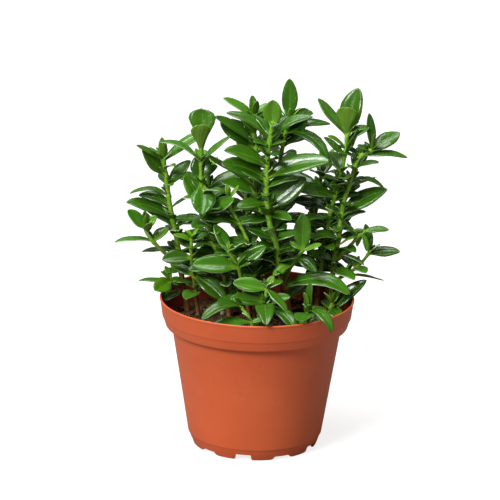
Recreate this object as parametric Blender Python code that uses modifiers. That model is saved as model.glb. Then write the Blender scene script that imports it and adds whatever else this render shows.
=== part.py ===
"""Potted candy corn plant: a nursery pot, its soil and a bush of leafy shoots.

Units are metres and +Z is up. The origin is on the pot's axis, at the surface
it stands on. The tables of shoots give places in millimetres, times MM.
The camera's side of the plant is -Y, and azimuths turn from +X towards +Y.
"""

import math

import bmesh
import bpy
from mathutils import Vector
from mathutils.bvhtree import BVHTree

MM = 0.001
OBJECT_NAME = "potted_candy_corn_plant"

# Pot: a thin moulded shell with a deep rim band, a straight taper and ten feet.
RIM_RADIUS = 82.5 * MM
POT_HEIGHT = 128.0 * MM
WALL = 1.2 * MM
LIP_BEVEL = 0.85 * MM
CREASE_RADIUS, CREASE_HEIGHT = 80.0 * MM, 112.0 * MM
BAND_RADIUS, BAND_HEIGHT = 77.0 * MM, 104.3 * MM
BODY_TOP_RADIUS, BODY_TOP_HEIGHT = 72.1 * MM, 103.0 * MM
STEP_RADIUS, STEP_HEIGHT = 57.0 * MM, 10.0 * MM
STEP_DEPTH = 0.5 * MM
FOOT_RADIUS = 53.2 * MM
FOOT_WIDTH = 2.4 * MM
FOOT_INNER_DRAFT = 1.0 * MM
FLOOR_BOTTOM, FLOOR_TOP = 4.2 * MM, 5.7 * MM
TURNS = 48
LEDGE_SLOPE = 0.9
NOTCHES = 10
FIRST_NOTCH = math.radians(260)
NOTCH_WIDTH, NOTCH_HEIGHT = 14.5 * MM, 6.4 * MM
NOTCH_START, NOTCH_END = 48.0 * MM, 66.0 * MM

# Soil: the filled inside of the pot, with a low bumpy top.
GAP = 0.3 * MM
SOIL_LEVEL = 108.0 * MM
SOIL_EDGE_DROP = 1.5 * MM
SOIL_RINGS = (64, 48, 32, 16)
BUMP = 0.8 * MM
HOLE_CLEARANCE = 0.45
HOLE_REACH = 1.4

# Stems and leaves.
STEM_SIDES_RESOLUTION = 1
WELD = 0.01 * MM
STEM_FOOT = 92.0 * MM
HOLE_FLOOR = STEM_FOOT - GAP
ROOT_DEPTH = 1.2 * MM
CLEAR_OF_STEM = 3.4 * MM
ABOVE_CREASE, BELOW_CREASE = 0.5 * MM, 0.9 * MM
LEAF_FOLD = 0.30
NARROWEST_HALF_WIDTH = 0.9 * MM
LONG_LEAF = 25
# Sections down a leaf, as (share of its length, share of its half width).
LONG_OVAL = ((0.14, 0.40), (0.38, 0.97), (0.70, 0.86))
LONG_SPOON = ((0.18, 0.16), (0.50, 0.62), (0.80, 1.0))
SHORT_OVAL = ((0.28, 0.84), (0.64, 0.92))
CLEARANCE = 0.35 * MM
SMALLEST_LEAF = 7.0 * MM

COLOURS = {
    "pot": ((0.60, 0.16, 0.06, 1.0), 0.45),
    "soil": ((0.035, 0.02, 0.012, 1.0), 0.95),
    "shoot": ((0.03, 0.13, 0.015, 1.0), 0.30),
}


def pair(height, azimuth, first, second, rise, droop=30, lean=25, width=0.46, spoon=False):
    """Two leaves facing each other at one height: lengths in millimetres, angles in degrees."""
    rises = rise if isinstance(rise, tuple) else (rise, rise)
    return [
        dict(height=height, azimuth=azimuth + 180 * side, length=length, rise=rises[side],
             droop=droop, lean=lean, width=width, spoon=spoon)
        for side, length in enumerate((first, second)) if length
    ]


def tuft(height, azimuth, size=13):
    """The young leaves round a tip: two upright pairs, the inner one smaller."""
    outer = pair(height - 3, azimuth, size, size * 0.9, 58, droop=12, lean=0, width=0.38)
    inner = pair(height, azimuth + 90, size * 0.75, size * 0.7, 72, droop=5, lean=0, width=0.38)
    return outer + inner


# Each shoot: its stems as routes of points in millimetres, thick first, and
# for each stem the leaf pairs it carries. A side stem starts inside the main one.
SHOOTS = {
    "shoot_centre": [
        dict(route=[(29, 0, 92), (27, -1, 118), (21, -4, 143), (18, -6, 160), (15, -8, 178),
                    (10, -10, 193), (7, -11, 213), (6, -12, 235), (7, -13, 256), (9, -13, 274),
                    (11, -13, 284)],
             radii=(3.1, 1.9),
             leaves=pair(137, 350, 62, 0, 40, droop=84, lean=25, width=0.28)
             + pair(209, 8, 41, 0, 44, droop=10, lean=60, width=0.52)
             + pair(233, 184, 42, 0, 42, droop=42, lean=40, width=0.42)
             + pair(236, 354, 56, 0, 34, droop=34, lean=45, width=0.34)
             + pair(245, 187, 40, 0, 42, droop=40, lean=35, width=0.42)
             + pair(265, 205, 13, 13, 12, droop=20, lean=35, width=0.60)
             + pair(269, 176, 44, 42, 58, droop=56, lean=25, width=0.30)
             + pair(281, 92, 21, 0, 84, droop=4, lean=0, width=0.80)
             + pair(283, 268, 12, 0, 10, droop=20, lean=0, width=0.66)
             + pair(160, 130, 28, 24, 38)
             + pair(172, 205, 24, 24, 30, droop=40, lean=20)
             + pair(181, 174, 27, 22, 40, droop=40, lean=35)
             + pair(190, 250, 20, 26, 34, droop=44, lean=10)
             + pair(204, 318, 26, 0, 16, droop=34)
             + pair(212, 200, 28, 0, 24, droop=50, lean=30)
             + pair(262, 98, 30, 0, 50)),
        dict(route=[(22, -4, 141), (28, -10, 158), (33, -14, 168), (38, -17, 175)],
             radii=(2.0, 1.4),
             leaves=pair(174, 88, 32, 0, 77, droop=8, lean=0, width=0.48)
             + pair(168, 322, 22, 0, -14, droop=25, width=0.62)
             + pair(175, 335, 18, 14, 28, droop=10, width=0.50)
             + pair(161, 200, 20, 0, 10, droop=40)),
    ],
    "shoot_left_tall": [
        dict(route=[(-58, 24, 92), (-60, 24, 110), (-63, 22, 126), (-66, 20, 150), (-70, 17, 178),
                    (-75, 14, 203), (-78, 12, 226), (-81, 9, 246)],
             radii=(2.9, 1.9),
             leaves=pair(144, 205, 17, 24, 15)
             + pair(161, 172, 32, 26, 14, droop=35, lean=5)
             + pair(178, 285, 22, 26, 15)
             + pair(191, 187, 43, 26, (40, 10), droop=38, lean=30, width=0.38)
             + pair(190, 255, 17, 0, 45, droop=30, lean=20, width=0.44)
             + pair(211, 172, 36, 0, 40, droop=78, lean=5, width=0.28)
             + pair(221, 5, 29, 0, 54, droop=12, lean=40, width=0.46)
             + pair(230, 188, 31, 0, 56, droop=14, lean=45, width=0.54)
             + pair(222, 285, 16, 22, 30, droop=40)
             + pair(243, 8, 45, 27, (46, 34), droop=24, lean=30, width=0.27)
             + pair(245, 110, 18, 16, 80, droop=6, lean=0, width=0.40)
             + pair(247, 200, 15, 15, 74, droop=6, lean=20, width=0.40)),
        dict(route=[(-66, 19, 148), (-75, 12, 158), (-84, 7, 168), (-92, 4, 178), (-96, 3, 187)],
             radii=(2.0, 1.4),
             leaves=pair(173, 182, 34, 0, 24, droop=50, lean=10, width=0.27)
             + pair(174, 30, 18, 0, 48, width=0.60)
             + pair(182, 100, 20, 17, 58)
             + pair(186, 192, 22, 14, 52, droop=12, lean=45, width=0.60)
             + pair(186, 105, 15, 12, 80, droop=6, lean=0, width=0.40)),
        dict(route=[(-61, 23, 120), (-67, 19, 127), (-74, 12, 137)],
             radii=(1.8, 1.3),
             leaves=pair(126, 195, 24, 0, -12, droop=10, lean=20)
             + pair(136, 176, 28, 22, 12, droop=25, lean=10, width=0.32)
             + pair(137, 210, 21, 12, 2, droop=25, lean=60, width=0.74)),
    ],
    "shoot_left_short": [
        dict(route=[(-48, 12, 92), (-51, 7, 120), (-54, 0, 145), (-56, -4, 163), (-56, -6, 180)],
             radii=(2.1, 1.4),
             leaves=pair(146, 330, 36, 24, (-14, 30), lean=30, width=0.52)
             + pair(130, 255, 30, 24, 24, droop=40, lean=20, width=0.50)
             + pair(162, 186, 25, 30, (8, 12), droop=20, lean=50, width=0.56)
             + pair(171, 120, 22, 22, 35, lean=40, width=0.50)
             + pair(178, 190, 17, 16, 35)
             + tuft(184, 30, 12)),
    ],
    "shoot_left_inner": [
        dict(route=[(-22, 4, 92), (-25, 2, 124), (-30, -2, 158), (-37, -4, 175), (-41, -6, 191),
                    (-45, -6, 207), (-48, -5, 225), (-49, -4, 242), (-49, -4, 262)],
             radii=(2.6, 1.4),
             leaves=pair(255, 272, 26, 36, (78, 78), droop=6, lean=0, width=0.64, spoon=True)
             + pair(245, 178, 42, 0, 62, droop=72, lean=5, width=0.26)
             + pair(245, 358, 35, 0, 54, droop=20, lean=20, width=0.26)
             + pair(231, 90, 22, 0, 72, droop=4, lean=0, width=0.84)
             + pair(226, 272, 27, 0, -38, droop=20, lean=0, width=0.80)
             + pair(204, 165, 35, 30, (62, 34), droop=12, lean=45, width=0.50)
             + pair(190, 60, 32, 30, 38, droop=50)
             + pair(173, 165, 34, 33, 34, droop=50, lean=30)
             + pair(154, 15, 34, 31, 32, droop=50, lean=30)
             + pair(140, 95, 26, 24, 24)),
    ],
    "shoot_centre_left": [
        dict(route=[(3, 16, 92), (4, 14, 129), (5, 14, 169), (3, 13, 196), (-2, 12, 211),
                    (-5, 12, 224), (-3, 12, 250), (-5, 12, 268), (-5, 12, 284)],
             radii=(2.6, 1.9),
             leaves=pair(256, 184, 44, 0, 56, droop=38, lean=25, width=0.28)
             + pair(255, 172, 37, 24, (46, 44), droop=24, lean=50, width=0.56)
             + pair(277, 178, 34, 22, 60, droop=46, lean=25, width=0.34)
             + pair(223, 180, 48, 0, 36, droop=8, lean=15, width=0.24)
             + pair(266, 265, 24, 24, 58, droop=15, width=0.60, spoon=True)
             + pair(283, 110, 17, 15, 72, droop=8, width=0.46)
             + pair(284, 215, 14, 15, 64, droop=10, width=0.46)
             + pair(215, 184, 31, 26, 38, droop=38, lean=35, width=0.46)
             + pair(236, 95, 32, 29, (25, 40), droop=40)
             + pair(198, 205, 36, 31, 36, droop=46, lean=25)
             + pair(180, 130, 34, 33, 34, droop=46, lean=25)
             + pair(162, 220, 32, 30, 32, droop=46, lean=15)
             + pair(146, 25, 32, 33, 28, lean=30)),
    ],
    "shoot_centre_back": [
        dict(route=[(22, 33, 92), (22, 32, 129), (21, 30, 152), (19, 28, 172), (18, 26, 197),
                    (16, 24, 223), (18, 22, 246), (21, 20, 263), (24, 18, 280)],
             radii=(2.6, 1.7),
             leaves=pair(150, 60, 34, 33, 28, lean=25)
             + pair(172, 340, 36, 33, 32, droop=50, lean=20)
             + pair(192, 75, 35, 31, 34, droop=44)
             + pair(212, 165, 35, 36, 36, droop=52, lean=20)
             + pair(232, 350, 40, 24, (44, 36), droop=56, lean=20, width=0.34)
             + pair(256, 352, 38, 24, (62, 40), droop=8, lean=60, width=0.56)
             + pair(265, 350, 56, 22, (28, 40), droop=96, lean=15, width=0.24)
             + pair(268, 8, 50, 27, (38, 40), droop=54, lean=30, width=0.28)
             + pair(274, 172, 32, 26, (42, 50), droop=45, lean=30)
             + pair(278, 88, 35, 0, 82, droop=4, lean=0, width=0.40)
             + tuft(281, 20, 14)),
    ],
    "shoot_right_tall": [
        dict(route=[(58, 23, 92), (60, 22, 124), (64, 20, 142), (65, 19, 156), (68, 17, 174),
                    (70, 15, 194), (72, 12, 210), (76, 10, 226), (80, 8, 239), (84, 7, 250),
                    (94, 5, 257)],
             radii=(2.9, 1.7),
             leaves=pair(148, 125, 30, 31, 12)
             + pair(198, 4, 44, 28, (40, 30), droop=20, lean=45, width=0.40)
             + pair(227, 352, 31, 30, (34, 40), droop=80, lean=5, width=0.30)
             + pair(223, 25, 26, 18, 34, droop=6, lean=-25, width=0.42)
             + pair(251, 0, 39, 25, (18, 34), droop=38, lean=15, width=0.28)
             + pair(256, 28, 31, 14, 32, droop=16, lean=35, width=0.48)
             + pair(257, 118, 31, 15, 84, droop=14, width=0.26)
             + pair(176, 175, 32, 25, 32, droop=50, lean=25)
             + pair(185, 262, 24, 35, 34, droop=50, lean=10)
             + pair(207, 280, 22, 33, 38, droop=50, lean=10)
             + pair(238, 250, 18, 31, 44, droop=30)),
        dict(route=[(67, 18, 157), (73, 12, 166), (80, 4, 176), (84, 0, 183), (90, -2, 188)],
             radii=(1.8, 1.3),
             leaves=pair(162, 330, 24, 0, 12, droop=50, lean=0, width=0.24)
             + pair(181, 195, 36, 0, 54, droop=8, lean=10, width=0.22)
             + pair(184, 178, 19, 0, 15, lean=0, width=0.34)
             + pair(186, 300, 16, 16, -45, lean=0, width=0.36)
             + pair(188, 2, 20, 10, 16, droop=24, lean=30, width=0.40)),
        dict(route=[(62, 21, 133), (74, 16, 144), (83, 12, 151), (90, 8, 160), (94, 5, 167)],
             radii=(1.9, 1.3),
             leaves=pair(144, 352, 34, 0, 8, droop=26, lean=-20, width=0.36)
             + pair(152, 110, 28, 23, 20)
             + pair(166, 4, 27, 0, 12, droop=16, lean=35, width=0.42)
             + pair(167, 128, 25, 14, 80, droop=8, width=0.36)),
    ],
    "shoot_right_inner": [
        dict(route=[(50, 22, 92), (52, 23, 129), (55, 22, 156), (58, 20, 180), (61, 16, 200),
                    (65, 12, 218), (69, 8, 236), (71, 6, 251), (73, 5, 271)],
             radii=(2.6, 1.7),
             leaves=pair(267, 262, 28, 0, 82, droop=6, lean=0, width=0.62, spoon=True)
             + pair(270, 55, 40, 0, 72, droop=8, lean=20, width=0.52)
             + pair(269, 150, 40, 0, 66, droop=8, lean=10, width=0.34)
             + pair(275, 5, 20, 0, 36, droop=50, lean=30, width=0.34)
             + pair(253, 5, 29, 0, 52, droop=-26, lean=-20, width=0.42)
             + pair(250, 160, 24, 0, 56, droop=14, width=0.32)
             + pair(213, 195, 37, 29, 38, droop=50, lean=30)
             + pair(200, 165, 36, 22, 34, droop=50, lean=30, width=0.44)
             + pair(228, 105, 30, 25, (40, 44), droop=50)
             + pair(186, 190, 33, 29, 34, droop=50, lean=25)
             + pair(168, 285, 26, 31, 32, droop=50, lean=10)
             + pair(150, 200, 30, 29, 28, lean=30)),
    ],
    "shoot_front_left": [
        dict(route=[(-4, -24, 92), (-8, -23, 126), (-14, -24, 152), (-17, -25, 162),
                    (-25, -26, 176)],
             radii=(2.1, 1.5),
             leaves=pair(130, 205, 28, 26, 24, droop=40, lean=30)
             + pair(146, 110, 26, 24, (28, 20), droop=44)
             + pair(161, 184, 38, 30, (14, 48), droop=20, lean=55, width=0.44)
             + pair(174, 140, 27, 20, (56, 40), droop=8, lean=0, width=0.56)
             + tuft(177, 300, 10)),
    ],
    "shoot_front_centre": [
        dict(route=[(-2, -8, 92), (-2, -8, 130), (-4, -9, 160), (-10, -8, 182), (-17, -8, 196),
                    (-23, -8, 207), (-26, -8, 217)],
             radii=(2.3, 1.3),
             leaves=pair(180, 300, 26, 20, (74, 25), droop=8, width=0.52)
             + pair(194, 188, 33, 26, 30, droop=44, lean=25)
             + pair(206, 172, 25, 23, 38, droop=34, lean=25)
             + pair(168, 188, 32, 34, 32, droop=46, lean=30)
             + pair(150, 240, 28, 31, 28, droop=44, lean=10)
             + pair(134, 150, 30, 31, 24, lean=30)
             + pair(160, 110, 24, 22, 40)
             + tuft(218, 20, 15)),
    ],
    "shoot_front_low": [
        dict(route=[(4, -44, 92), (5, -43, 120), (8, -43, 149)],
             radii=(2.1, 1.6),
             leaves=pair(133, 272, 49, 0, 20, droop=82, lean=0, width=0.34)
             + pair(132, 292, 45, 0, 18, droop=76, lean=0, width=0.36)
             + pair(148, 184, 29, 0, 24, droop=26, lean=50, width=0.46)
             + pair(148, 318, 26, 0, -36, droop=24, lean=0, width=0.50)
             + pair(147, 258, 27, 0, -38, droop=24, lean=0, width=0.46)
             + pair(148, 60, 14, 0, 50, droop=20, width=0.50)
             + pair(136, 188, 30, 22, (12, 24), droop=24, lean=50, width=0.40)),
    ],
    "shoot_front_left_low": [
        dict(route=[(-2, -52, 92), (-2, -52, 110), (-6, -50, 124), (-14, -46, 134)],
             radii=(1.9, 1.3),
             leaves=pair(133, 212, 42, 18, (34, 44), droop=86, lean=20, width=0.30)
             + pair(121, 193, 33, 16, (16, 24), droop=30, lean=25, width=0.36)
             + pair(114, 60, 20, 0, 30)),
    ],
    "shoot_front_right_low": [
        dict(route=[(41, -46, 92), (42, -47, 114), (43, -47, 136)],
             radii=(1.9, 1.3),
             leaves=pair(128, 308, 40, 0, 44, droop=132, lean=0, width=0.32)
             + pair(129, 258, 31, 0, 4, droop=36, lean=0, width=0.56)
             + pair(124, 100, 24, 0, 80, droop=8, lean=0, width=0.32)
             + pair(134, 36, 22, 15, (62, 74), droop=8, lean=0, width=0.42)
             + pair(118, 10, 24, 20, (34, 30))),
    ],
    "shoot_right_low": [
        dict(route=[(58, -4, 92), (61, -4, 112), (64, -4, 126)],
             radii=(1.9, 1.3),
             leaves=pair(116, 14, 42, 22, (50, 24), droop=18, lean=35, width=0.32)
             + pair(120, 285, 24, 24, 15)
             + tuft(127, 40, 17)),
    ],
    "shoot_back_left": [
        dict(route=[(-34, 46, 92), (-36, 48, 124), (-40, 50, 156), (-43, 52, 190), (-44, 52, 222)],
             radii=(2.6, 1.6),
             leaves=pair(124, 125, 34, 33, 12)
             + pair(142, 35, 36, 37, 15)
             + pair(160, 115, 36, 26, 20)
             + pair(178, 20, 34, 34, 22)
             + pair(194, 110, 36, 26, 30)
             + pair(208, 15, 35, 37, 38)
             + pair(219, 100, 30, 29, 50)
             + tuft(224, 40, 17)),
    ],
    "shoot_back_right": [
        dict(route=[(40, 48, 92), (43, 50, 124), (46, 51, 156), (49, 50, 190), (52, 48, 214),
                    (54, 47, 232)],
             radii=(2.6, 1.6),
             leaves=pair(124, 60, 34, 31, 12)
             + pair(142, 330, 36, 35, 15)
             + pair(160, 65, 36, 26, 20)
             + pair(178, 160, 34, 34, 20)
             + pair(194, 70, 36, 26, 25)
             + pair(210, 160, 34, 33, 32)
             + pair(222, 75, 32, 28, 38)
             + tuft(234, 30, 18)),
    ],
    "shoot_back_centre": [
        dict(route=[(-4, 54, 92), (-6, 55, 124), (-8, 56, 156), (-10, 56, 188), (-12, 56, 216),
                    (-13, 55, 240)],
             radii=(2.5, 1.6),
             leaves=pair(124, 80, 30, 24, 10)
             + pair(141, 5, 32, 30, 14)
             + pair(160, 95, 34, 26, 18)
             + pair(179, 5, 34, 34, 22)
             + pair(196, 95, 34, 24, 28)
             + pair(212, 5, 33, 33, 34)
             + pair(227, 90, 30, 26, 44)
             + tuft(241, 45, 18)),
    ],
}


def clear_scene():
    for obj in list(bpy.data.objects):
        bpy.data.objects.remove(obj, do_unlink=True)


def make_collection(name, hidden=False):
    collection = bpy.data.collections.new(name)
    bpy.context.scene.collection.children.link(collection)
    collection.hide_render = hidden
    return collection


def make_material(name, colour, roughness):
    material = bpy.data.materials.new(name)
    material.use_nodes = True
    shader = material.node_tree.nodes["Principled BSDF"]
    shader.inputs["Base Color"].default_value = colour
    shader.inputs["Roughness"].default_value = roughness
    shader.inputs["Metallic"].default_value = 0.0
    material.diffuse_color = colour
    return material


def add_object(name, mesh, collection):
    obj = bpy.data.objects.new(name, mesh)
    collection.objects.link(obj)
    return obj


def mesh_from_bmesh(name, shape):
    mesh = bpy.data.meshes.new(name)
    shape.to_mesh(mesh)
    shape.free()
    return mesh


def evaluated_mesh(obj):
    """The object's mesh with its modifiers applied, or a curve's tube."""
    graph = bpy.context.evaluated_depsgraph_get()
    return bpy.data.meshes.new_from_object(obj.evaluated_get(graph))


def turned(name, profile, collection):
    """A profile of (radius, height) points, outer side first, turned about +Z."""
    shape = bmesh.new()
    points = [shape.verts.new((radius, 0, height)) for radius, height in profile]
    for start, end in zip(points, points[1:]):
        shape.edges.new((start, end))
    obj = add_object(name, mesh_from_bmesh(name, shape), collection)
    screw = obj.modifiers.new("Turn", "SCREW")
    screw.steps = TURNS
    screw.render_steps = TURNS
    screw.use_merge_vertices = True
    screw.merge_threshold = 0.0001
    return obj


def bake_modifiers(obj):
    baked = evaluated_mesh(obj)
    obj.modifiers.clear()
    obj.data = baked
    return obj


def smooth(obj, degrees=40):
    obj.data.shade_smooth()
    obj.data.set_sharp_from_angle(angle=math.radians(degrees))


def pot_profile():
    """The outside from the rim down to the foot, then under the floor to the axis."""
    outer = [
        (RIM_RADIUS - LIP_BEVEL, POT_HEIGHT),
        (RIM_RADIUS, POT_HEIGHT - LIP_BEVEL),
        (CREASE_RADIUS, CREASE_HEIGHT),
        (BAND_RADIUS, BAND_HEIGHT),
        (BODY_TOP_RADIUS, BODY_TOP_HEIGHT),
        (STEP_RADIUS, STEP_HEIGHT),
        (STEP_RADIUS - STEP_DEPTH, STEP_HEIGHT - STEP_DEPTH),
        (FOOT_RADIUS, 0.0),
    ]
    under = [
        (FOOT_RADIUS - FOOT_WIDTH, 0.0),
        (FOOT_RADIUS - FOOT_WIDTH + FOOT_INNER_DRAFT, FLOOR_BOTTOM),
        (0.0, FLOOR_BOTTOM),
    ]
    return outer + under


def inner_wall_profile(inset):
    """The inside of the wall from the floor up to the rim, set in by a distance."""
    slope = (BODY_TOP_RADIUS - STEP_RADIUS) / (BODY_TOP_HEIGHT - STEP_HEIGHT)
    floor_radius = STEP_RADIUS - slope * (STEP_HEIGHT - FLOOR_TOP) - inset
    ledge_rise = inset * LEDGE_SLOPE
    return [
        (floor_radius, FLOOR_TOP + inset - WALL),
        (BODY_TOP_RADIUS - inset, BODY_TOP_HEIGHT + ledge_rise),
        (BAND_RADIUS - inset, BAND_HEIGHT + ledge_rise),
        (CREASE_RADIUS - inset, CREASE_HEIGHT),
        (RIM_RADIUS - inset, POT_HEIGHT),
    ]


def make_notch_cutters(collection):
    """Boxes laid round the foot, one for each gap between two feet."""
    length = NOTCH_END - NOTCH_START
    for index in range(NOTCHES):
        angle = FIRST_NOTCH + index * math.tau / NOTCHES
        shape = bmesh.new()
        bmesh.ops.create_cube(shape, size=1.0)
        bmesh.ops.scale(shape, vec=(length, NOTCH_WIDTH, 2 * NOTCH_HEIGHT), verts=shape.verts)
        cutter = add_object(f"notch_{index:02d}", mesh_from_bmesh("notch", shape), collection)
        middle = (NOTCH_START + NOTCH_END) / 2
        cutter.location = (middle * math.cos(angle), middle * math.sin(angle), 0.0)
        cutter.rotation_euler = (0.0, 0.0, angle)
        cutter.hide_render = True
        cutter.display_type = "WIRE"


def make_pot(collection, cutters):
    inside = [(0.0, FLOOR_TOP)] + inner_wall_profile(WALL)
    profile = pot_profile() + inside + [pot_profile()[0]]
    pot = turned("pot", profile, collection)
    make_notch_cutters(cutters)
    cut = pot.modifiers.new("Foot notches", "BOOLEAN")
    cut.operation = "DIFFERENCE"
    cut.operand_type = "COLLECTION"
    cut.collection = cutters
    cut.solver = "EXACT"
    bake_modifiers(pot)
    smooth(pot, 30)
    return pot


def soil_height(x, y):
    """The soil's top at a place: long and short waves, lower towards the wall."""
    near_wall = (math.hypot(x, y) / CREASE_RADIUS) ** 2
    long_wave = math.sin(90 * x + 1.0) * math.cos(110 * y)
    short_wave = math.sin(210 * x - 170 * y)
    bumps = BUMP * (long_wave + 0.6 * short_wave) * (1 - 0.5 * near_wall)
    return SOIL_LEVEL + bumps - SOIL_EDGE_DROP * near_wall


def soil_profile():
    """The soil's top from the axis out to the wall, then down the wall to the floor."""
    floor, ledge, band, crease, _ = inner_wall_profile(WALL + GAP)
    top = SOIL_LEVEL - SOIL_EDGE_DROP
    up_the_band = (top - band[1]) / (crease[1] - band[1])
    edge = band[0] + (crease[0] - band[0]) * up_the_band
    rings = [(radius * MM, SOIL_LEVEL) for radius in reversed(SOIL_RINGS)]
    return [(0.0, SOIL_LEVEL), *rings, (edge, top), band, ledge, floor, (0.0, floor[1])]


def make_soil(collection, routes, radii):
    """The filled soil, its top raised by a formula, with a plain hole for each stem."""
    soil = bake_modifiers(turned("soil", soil_profile(), collection))
    for vertex in soil.data.vertices:
        if vertex.co.z > SOIL_LEVEL - SOIL_EDGE_DROP - GAP:
            vertex.co.z = soil_height(vertex.co.x, vertex.co.y)
    holes = make_collection("stem_holes", hidden=True)
    for index, (route, radius) in enumerate(zip(routes, radii)):
        foot = Vector(route[0]) * MM
        above = Vector(route[1]) * MM
        hole_route = [Vector((foot.x, foot.y, HOLE_FLOOR)), foot.lerp(above, HOLE_REACH)]
        hole = tube(f"hole_{index:02d}", hole_route, [radius + HOLE_CLEARANCE] * 2, holes)
        hole.hide_render = True
        hole.display_type = "WIRE"
    cut = soil.modifiers.new("Stem holes", "BOOLEAN")
    cut.operation = "DIFFERENCE"
    cut.operand_type = "COLLECTION"
    cut.collection = holes
    cut.solver = "EXACT"
    bake_modifiers(soil)
    smooth(soil, 50)
    return soil


def tube(name, points, radii, collection):
    """A closed tube along points in metres, its radius in millimetres from foot to tip."""
    curve = bpy.data.curves.new(name, "CURVE")
    curve.dimensions = "3D"
    curve.bevel_depth = MM
    curve.bevel_resolution = STEM_SIDES_RESOLUTION
    curve.use_fill_caps = True
    spline = curve.splines.new("POLY")
    spline.points.add(len(points) - 1)
    for index, (item, point) in enumerate(zip(spline.points, points)):
        share = index / (len(points) - 1)
        item.co = (*point, 1.0)
        item.radius = radii[0] + (radii[1] - radii[0]) * share
    guide = add_object(name + "_curve", curve, collection)
    shape = bmesh.new()
    shape.from_mesh(evaluated_mesh(guide))
    bmesh.ops.remove_doubles(shape, verts=shape.verts, dist=WELD)
    bmesh.ops.recalc_face_normals(shape, faces=shape.faces)
    made = add_object(name, mesh_from_bmesh(name, shape), collection)
    made.matrix_world = guide.matrix_world.copy()
    bpy.data.objects.remove(guide, do_unlink=True)
    return made


def point_at_height(route, height):
    """The place on a rising route at a height, all in millimetres."""
    for low, high in zip(route, route[1:]):
        if height <= high[2]:
            share = (height - low[2]) / (high[2] - low[2])
            return Vector(low).lerp(Vector(high), share)
    return Vector(route[-1])


def leaf_sections(leaf):
    if leaf["spoon"]:
        return LONG_SPOON
    return LONG_OVAL if leaf["length"] >= LONG_LEAF else SHORT_OVAL


def leaf_frames(root, leaf):
    """Sections down the middle of an arched leaf, then its tip: (centre, along, up, side)."""
    around = math.radians(leaf["azimuth"])
    outward = Vector((math.cos(around), math.sin(around), 0.0))
    length = leaf["length"] * MM
    centre = Vector(root)
    frames = []
    before = 0.0
    for station in [share for share, _ in leaf_sections(leaf)] + [1.0]:
        middle = (before + station) / 2
        slope = math.radians(leaf["rise"] - leaf["droop"] * middle)
        centre = centre + direction(outward, slope) * length * (station - before)
        slope = math.radians(leaf["rise"] - leaf["droop"] * station)
        along = direction(outward, slope)
        flat_side = along.cross(direction(outward, slope + math.pi / 2))
        turn = -math.radians(leaf["lean"]) * flat_side.y
        up = direction(outward, slope + math.pi / 2) * math.cos(turn) + flat_side * math.sin(turn)
        frames.append((centre, along, up, along.cross(up)))
        before = station
    return frames


def direction(outward, slope):
    return outward * math.cos(slope) + Vector((0, 0, 1)) * math.sin(slope)


def leaf_bmesh(root, leaf, grow=0.0):
    """A closed leaf: lens-shaped sections lofted from a point inside the stem to the tip.

    A grown leaf, used to find room, is thicker all round and starts clear of its stem.
    """
    half = leaf["length"] * MM * leaf["width"] / 2
    frames = leaf_frames(root, leaf)
    sections = [
        leaf_section(frame, half * share)
        for frame, (_, share) in zip(frames, leaf_sections(leaf))
    ]
    first_centre = frames[0][0]
    to_first = first_centre - Vector(root)
    if grow and to_first.length > CLEAR_OF_STEM:
        start = Vector(root) + to_first.normalized() * CLEAR_OF_STEM
        scale = (CLEAR_OF_STEM + ROOT_DEPTH) / (to_first.length + ROOT_DEPTH)
        sections.insert(0, [(out, start + (at - first_centre) * scale) for out, at in sections[0]])
    shape = bmesh.new()
    rings = [[shape.verts.new(at + out * grow) for out, at in section] for section in sections]
    for ring, following in zip(rings, rings[1:]):
        for corner in range(4):
            other = (corner + 1) % 4
            shape.faces.new((ring[corner], ring[other], following[other], following[corner]))
    tip, along = frames[-1][:2]
    close_to_point(shape, rings[-1], tip + along * grow)
    if grow:
        shape.faces.new(rings[0])
    else:
        close_to_point(shape, rings[0], Vector(root) - to_first.normalized() * ROOT_DEPTH)
    bmesh.ops.recalc_face_normals(shape, faces=shape.faces)
    bmesh.ops.triangulate(shape, faces=shape.faces)
    return shape


def leaf_section(frame, half):
    """Four corners of a folded lens, each with its outward direction."""
    centre, _, up, side = frame
    reach = max(half, NARROWEST_HALF_WIDTH)
    crease = centre - up * LEAF_FOLD * half
    return [
        (-side, centre - side * reach),
        (up, crease + up * ABOVE_CREASE),
        (side, centre + side * reach),
        (-up, crease - up * BELOW_CREASE),
    ]


def close_to_point(shape, ring, place):
    point = shape.verts.new(place)
    for corner, vertex in enumerate(ring):
        shape.faces.new((vertex, ring[(corner + 1) % len(ring)], point))


def tree_of(shape):
    shape.faces.ensure_lookup_table()
    return BVHTree.FromBMesh(shape)


def tree_of_object(obj):
    shape = bmesh.new()
    shape.from_mesh(obj.data)
    shape.transform(obj.matrix_world)
    tree = tree_of(shape)
    shape.free()
    return tree


def bent_variants(leaf):
    """The leaf as drawn, then bent or shortened more and more."""
    for size in (1.0, 0.86, 0.72):
        for turn, lift in ((0, 0), (0, 9), (0, -9), (11, 0), (-11, 0), (11, 9), (-11, 9), (0, 18),
                           (0, -18), (22, 0), (-22, 0), (22, 14), (-22, 14), (33, 6), (-33, 6),
                           (0, 28), (0, -28)):
            bent = dict(leaf)
            bent["length"] = leaf["length"] * size
            bent["azimuth"] = leaf["azimuth"] + turn
            bent["rise"] = leaf["rise"] + lift
            if bent["length"] * MM >= SMALLEST_LEAF:
                yield bent


def clear_leaf(root, leaf, blocked):
    """The first bent form of a leaf that stays clear of everything already there."""
    for bent in bent_variants(leaf):
        trial = leaf_bmesh(root, bent, grow=CLEARANCE)
        tree = tree_of(trial)
        free = not any(tree.overlap(other) for other in blocked)
        trial.free()
        if free:
            return bent, tree
    return None, None


def make_stems(collection):
    """Each shoot's stems as tubes: the main one stands in the soil, the others branch off."""
    stems = {}
    for name, parts in SHOOTS.items():
        stems[name] = [
            tube(f"{name}_stem_{index}", [Vector(point) * MM for point in part["route"]],
                 part["radii"], collection)
            for index, part in enumerate(parts)
        ]
    return stems


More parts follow.
